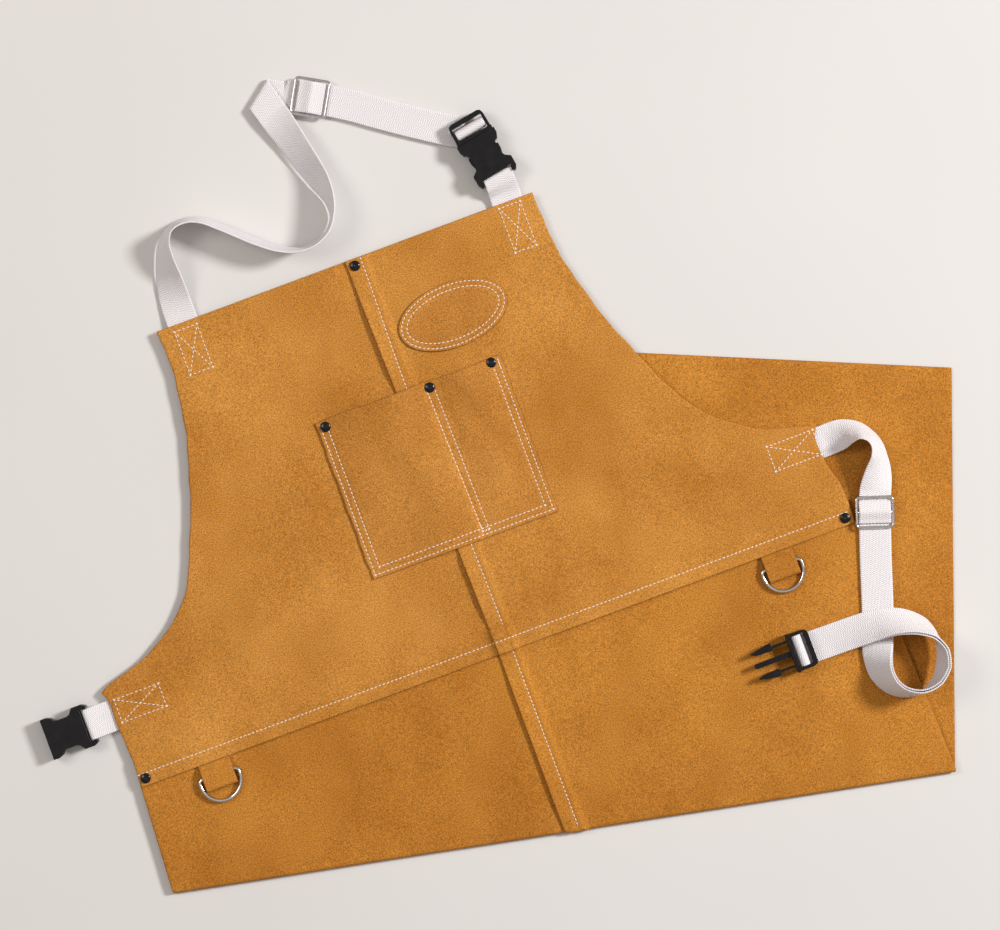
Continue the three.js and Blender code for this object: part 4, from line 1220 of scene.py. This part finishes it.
def softened(node, name, width=0.45, segments=2):
    """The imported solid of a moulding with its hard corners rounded."""
    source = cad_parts[node]
    mesh = bpy.data.meshes.new(name)
    work = bmesh.new()
    work.from_mesh(source.data)
    bmesh.ops.remove_doubles(work, verts=work.verts, dist=2e-6)
    bmesh.ops.dissolve_limit(work, angle_limit=math.radians(3), verts=work.verts, edges=work.edges)
    bmesh.ops.recalc_face_normals(work, faces=work.faces)
    work.to_mesh(mesh)
    work.free()
    obj = link_new(name, mesh)
    bevel = obj.modifiers.new("round", "BEVEL")
    bevel.width = width * MM
    bevel.segments = segments
    bevel.limit_method = "ANGLE"
    bevel.angle_limit = math.radians(28)
    bevel.use_clamp_overlap = True
    bevel.harden_normals = True
    finished = apply_modifiers(obj)
    finished.name = name
    finished.materials.clear()
    finished.materials.append(PLASTIC)
    return obj


slides = {
    "neck": make_slide("neck_slide_wire", SLIDE_LENGTH["neck"], neck_slide_at),
    "waist": make_slide("waist_slide_wire", SLIDE_LENGTH["waist"], waist_slide_at),
}
BUCKLE_NODES = [
    "neck_plug", "neck_plug_arm_left", "neck_plug_arm_right", "neck_socket",
    "waist_plug", "waist_plug_arm_left", "waist_plug_arm_right", "waist_socket",
]
buckles = {node: softened(node, f"{node}_moulding") for node in BUCKLE_NODES}


# ---- stitches ----------------------------------------------------------------------------
def line_points(start, end, step=2.0):
    length = math.dist(start, end)
    return [(start[0] + (end[0] - start[0]) * t, start[1] + (end[1] - start[1]) * t)
            for t in np.linspace(0, 1, max(2, int(length / step)))]


def on_surface(points, height, above=THREAD_LIFT):
    return [(x, y, float(height(x, y)) + above) for x, y in points]


def straight_row(start, end, height):
    return on_surface(line_points(start, end), height)


def box_cross(left, right, low, high):
    """A stitched box with a cross from corner to corner."""
    corners = [(left, low), (right, low), (right, high), (left, high), (left, low)]
    rows = [line_points(corners[i], corners[i + 1]) for i in range(4)]
    rows.append(line_points((left, low), (right, high)))
    rows.append(line_points((left, high), (right, low)))
    return rows


WEBBING_BOXES = [  # left, right, low and high edge of each box stitch
    (-153, -134, 285, 321.5), (124, 142, 286, 323.5),
    (-300.7, -263, 44, 63.3), (258, 297, 50, 71),
]


def apron_rows():
    """Every stitched row on the apron itself, as points in millimetres."""
    left, right, low, high = POCKET
    rows = [straight_row((-303, 0), (-4, 0), top_of), straight_row((-1, 0), (299, 0), top_of)]
    for first, last in ((12, 81), (215, 326)):
        centre = [(centre_stitch_at(y), y) for y in np.arange(first, last, 2.0)]
        rows.append(on_surface(centre, top_of))
    centre_down = [(CENTRE_STITCH, y) for y in np.arange(-158, -10, 2.0)]
    rows.append(on_surface(centre_down, top_of))
    for inset in POCKET_ROWS:
        corners = [
            (left + inset, high - 3), (left + inset, low + inset),
            (right - inset, low + inset), (right - inset, high - 3),
        ]
        rows += [straight_row(start, end, pocket_top) for start, end in zip(corners, corners[1:])]
    for first, last in zip(divider_rows(high - 9), divider_rows(low + 6)):
        rows.append(straight_row((first, high - 9), (last, low + 6), pocket_top))
    rows.append(straight_row((22.2, low + 6), (27.8, low + 6), pocket_top))
    for inset in PATCH_ROWS:
        ring = [patch_place(1, angle, -inset) for angle in np.linspace(0, 2 * math.pi, 140)]
        rows.append([(x, y, float(patch_top(x, y, inset)) + THREAD_LIFT) for x, y in ring])
    for box in WEBBING_BOXES:
        rows += [on_surface(points, top_of) for points in box_cross(*box)]
    return rows


def back_tacks():
    """Heavier thread where a row starts or ends."""
    low, high = POCKET[2:]
    spots = [((22.4, low + 5.6), (27.6, low + 5.6)), ((22.1, low + 11), (22.3, low + 6)),
             ((19.3, high - 8), (19.2, high - 3)), ((81.2, high - 3), (81.2, high - 9))]
    return [on_surface(line_points(a, b, 1.0), pocket_top, 0.2) for a, b in spots]


def under_rows():
    """The same seams seen from behind, on the undersides of the bib and the upper skirt."""
    rows = []
    for a, b in (((-303, 0), (299, 0)), ((CENTRE_STITCH, 12), (CENTRE_STITCH - 5.9, 325))):
        points = line_points(a, b)
        rows.append([(x, y, under_of(x, y) - 0.1) for x, y in points])
    return rows


def under_of(x, y):
    """Height of the lowest leather face at a place on the bib."""
    return PANEL_MIDDLE - LEATHER / 2 + float(ripple(x, y)) - RIPPLE_REST


def stitch_tree():
    """Stitches along edges: evenly spaced, slightly slanted, each with its own small twist."""
    tree = bpy.data.node_groups.new("stitches", "GeometryNodeTree")
    interface = tree.interface
    interface.new_socket(name="Seam", in_out="INPUT", socket_type="NodeSocketGeometry")
    for label, kind, value in (
        ("Pitch", "NodeSocketFloat", STITCH_PITCH * MM), ("Length", "NodeSocketFloat", 2.7 * MM),
        ("Width", "NodeSocketFloat", 0.85 * MM), ("Slant", "NodeSocketFloat", 0.12),
        ("Twist", "NodeSocketFloat", 0.09), ("Seed", "NodeSocketInt", 5),
    ):
        interface.new_socket(name=label, in_out="INPUT", socket_type=kind).default_value = value
    interface.new_socket(name="Thread", in_out="INPUT", socket_type="NodeSocketMaterial")
    interface.new_socket(name="Stitches", in_out="OUTPUT", socket_type="NodeSocketGeometry")

    def add(kind, **settings):
        node = tree.nodes.new(kind)
        for label, value in settings.items():
            setattr(node, label, value)
        return node

    def join(first, output, second, socket):
        tree.links.new(first.outputs[output], second.inputs[socket])

    given = add("NodeGroupInput")
    result = add("NodeGroupOutput")
    to_curve = add("GeometryNodeMeshToCurve")
    to_points = add("GeometryNodeCurveToPoints", mode="LENGTH")
    join(given, "Seam", to_curve, "Mesh")
    join(to_curve, "Curve", to_points, "Curve")
    join(given, "Pitch", to_points, "Length")
    align = add("FunctionNodeAlignRotationToVector", axis="X")
    join(to_points, "Tangent", align, "Vector")

    ball = add("GeometryNodeMeshUVSphere")
    for label, value in (("Segments", 8), ("Rings", 5), ("Radius", 0.5)):
        ball.inputs[label].default_value = value
    flat = add("ShaderNodeMath", operation="MULTIPLY")
    flat.inputs[1].default_value = 0.72
    size = add("ShaderNodeCombineXYZ")
    shaped = add("GeometryNodeTransform")
    join(given, "Width", flat, 0)
    join(given, "Length", size, "X")
    join(given, "Width", size, "Y")
    join(flat, 0, size, "Z")
    join(ball, "Mesh", shaped, "Geometry")
    join(size, 0, shaped, "Scale")
    place = add("GeometryNodeInstanceOnPoints")
    join(to_points, "Points", place, "Points")
    join(shaped, "Geometry", place, "Instance")
    join(align, "Rotation", place, "Rotation")

    chance = add("FunctionNodeRandomValue", data_type="FLOAT")
    limits = [socket for socket in chance.inputs if socket.type == "VALUE" and socket.enabled]
    for operation, limit in zip(("SUBTRACT", "ADD"), limits):
        angle = add("ShaderNodeMath", operation=operation)
        join(given, "Slant", angle, 0)
        join(given, "Twist", angle, 1)
        tree.links.new(angle.outputs[0], limit)
    join(given, "Seed", chance, "Seed")
    turn = add("ShaderNodeCombineXYZ")
    drawn = [socket for socket in chance.outputs if socket.type == "VALUE" and socket.enabled][0]
    tree.links.new(drawn, turn.inputs["Z"])
    rotate = add("GeometryNodeRotateInstances")
    join(place, "Instances", rotate, "Instances")
    join(turn, 0, rotate, "Rotation")

    real = add("GeometryNodeRealizeInstances")
    finish = add("GeometryNodeSetMaterial")
    join(rotate, "Instances", real, "Geometry")
    join(real, "Geometry", finish, "Geometry")
    join(given, "Thread", finish, "Material")
    join(finish, "Geometry", result, "Stitches")
    return tree


STITCHES = stitch_tree()


def sew(name, rows, **values):
    """A plain mesh of stitches along rows of points in millimetres."""
    vertices, edges = [], []
    for row in rows:
        base = len(vertices)
        vertices += [(x * MM, y * MM, z * MM) for x, y, z in row]
        edges += [(base + i, base + i + 1) for i in range(len(row) - 1)]
    seam = bpy.data.meshes.new(f"{name}_seam")
    seam.from_pydata(vertices, edges, [])
    obj = link_new(name, seam)
    modifier = obj.modifiers.new("stitches", "NODES")
    modifier.node_group = STITCHES
    for item in STITCHES.interface.items_tree:
        if item.in_out == "INPUT" and item.name in values:
            modifier[item.identifier] = values[item.name]
        if item.in_out == "INPUT" and item.name == "Thread":
            modifier[item.identifier] = THREAD
    mesh = apply_modifiers(obj)
    mesh.polygons.foreach_set("use_smooth", [True] * len(mesh.polygons))
    return obj


stitches = sew("apron_stitches", apron_rows())
tacks = sew("apron_back_tacks", back_tacks(), Pitch=1.9 * MM, Width=1.0 * MM, Length=2.6 * MM, Twist=0.5)
under_stitches = sew("apron_under_stitches", under_rows())


# ---- bodies, and the flat length of a folded tab, worked out and not kept ----------------
def declare(obj, body, slot, *nodes):
    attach(obj, body)
    if nodes:
        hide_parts(*nodes)


declare(bib_left, "apron", "split_leather", "bib_left_panel")
declare(bib_right, "apron", "split_leather", "bib_right_panel")
declare(pocket, "apron", "split_leather", "pocket")
declare(patch, "apron", "split_leather", "oval_patch")
for skirt, skirt_side in ((skirt_left, "left"), (skirt_right, "right")):
    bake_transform(skirt)
    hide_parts(f"skirt_{skirt_side}_panel", f"lower_skirt_{skirt_side}_panel")
for side in TAB_PLACES:
    declare(tabs[side], "apron", "split_leather", f"dring_tab_{side}")
    declare(rings[side], f"{side}_dring", "nickel", f"dring_{side}")
for rivet, rivet_name in zip(rivets, RIVETS):
    declare(rivet, "apron", "black_rivet", f"rivet_{rivet_name}_cap", f"rivet_{rivet_name}_back")
for name, slide in slides.items():
    declare(slide, f"{name}_slide", "nickel", f"{name}_slide")
WEBBING_BODY = {"neck_slide_bight": "neck_slide", "waist_slide_bight": "waist_slide"}
for node, (strip, length) in webbing.items():
    declare(strip, WEBBING_BODY.get(node, "apron"), "webbing", node)
MOULDING_BODY = {
    "neck_plug_arm_left": "neck_arm_left", "neck_plug_arm_right": "neck_arm_right",
    "waist_plug_arm_left": "waist_arm_left", "waist_plug_arm_right": "waist_arm_right",
    "waist_socket": "waist_socket",
}
for node, moulding in buckles.items():
    declare(moulding, MOULDING_BODY.get(node, "apron"), "buckle_plastic", node)
for thread in (stitches, tacks, under_stitches):
    declare(thread, "apron", "webbing")


def tab_cut_length():
    line = tab_layer()
    return sum(math.dist(line[i], line[i + 1]) for i in range(len(line) - 1)) * MM


for side in TAB_PLACES:
    tab_cut_length()


# ---- floor and light ---------------------------------------------------------------------
FLOOR_HALF = 3.0
FLOOR_LEVEL = -0.0005


def make_floor():
    material, tree, shader = new_material("pale_floor", Roughness=0.75, Specular_IOR_Level=0.2)
    tone = noise(tree, 3, 2, 0.5)
    colour = mix_colour(tree, tone, linear(212, 210, 208), linear(219, 217, 215))
    tree.links.new(colour, shader.inputs["Base Color"])
    signs = ((-1, -1), (1, -1), (1, 1), (-1, 1))
    corners = [(x * FLOOR_HALF, y * FLOOR_HALF, FLOOR_LEVEL) for x, y in signs]
    floor = new_object("floor", corners, [(0, 1, 2, 3)], material, smooth_shade=False)


def add_light(name, place, size, power, colour, aim=(0.05, 0.1, 0)):
    data = bpy.data.lights.new(name, "AREA")
    data.shape = "DISK"
    data.size = size
    data.energy = power
    data.color = colour
    light = link_new(name, data)
    light.location = place
    light.rotation_euler = (Vector(aim) - Vector(place)).to_track_quat("-Z", "Y").to_euler()


SOFT_KEY = {"place": (3.5, 0.2, 2.6), "size": 0.9, "power": 186, "colour": (1.0, 0.99, 0.975)}
WARM_FILL = {"place": (-1.8, 1.6, 2.6), "size": 1.6, "power": 34, "colour": (1.0, 0.94, 0.9)}
GLOW_LOW = (0.06, 0.055, 0.05, 1)
GLOW_OVERHEAD = (0.62, 0.58, 0.55, 1)
GLOW_STRENGTH = 0.8

make_floor()
add_light("key", **SOFT_KEY)
add_light("fill", **WARM_FILL)
world = bpy.data.worlds.new("studio")
bpy.context.scene.world = world
world.use_nodes = True
backdrop = world.node_tree.nodes["Background"]
direction = world.node_tree.nodes.new("ShaderNodeTexCoord")
parts = world.node_tree.nodes.new("ShaderNodeSeparateXYZ")
world.node_tree.links.new(direction.outputs["Generated"], parts.inputs[0])
overhead = map_range(world.node_tree, parts.outputs[2], 0.1, 0.9, 0.0, 1.0)
glow = mix_colour(world.node_tree, overhead, GLOW_LOW, GLOW_OVERHEAD)
world.node_tree.links.new(glow, backdrop.inputs[0])
backdrop.inputs[1].default_value = GLOW_STRENGTH
bpy.context.scene.view_settings.view_transform = "Standard"
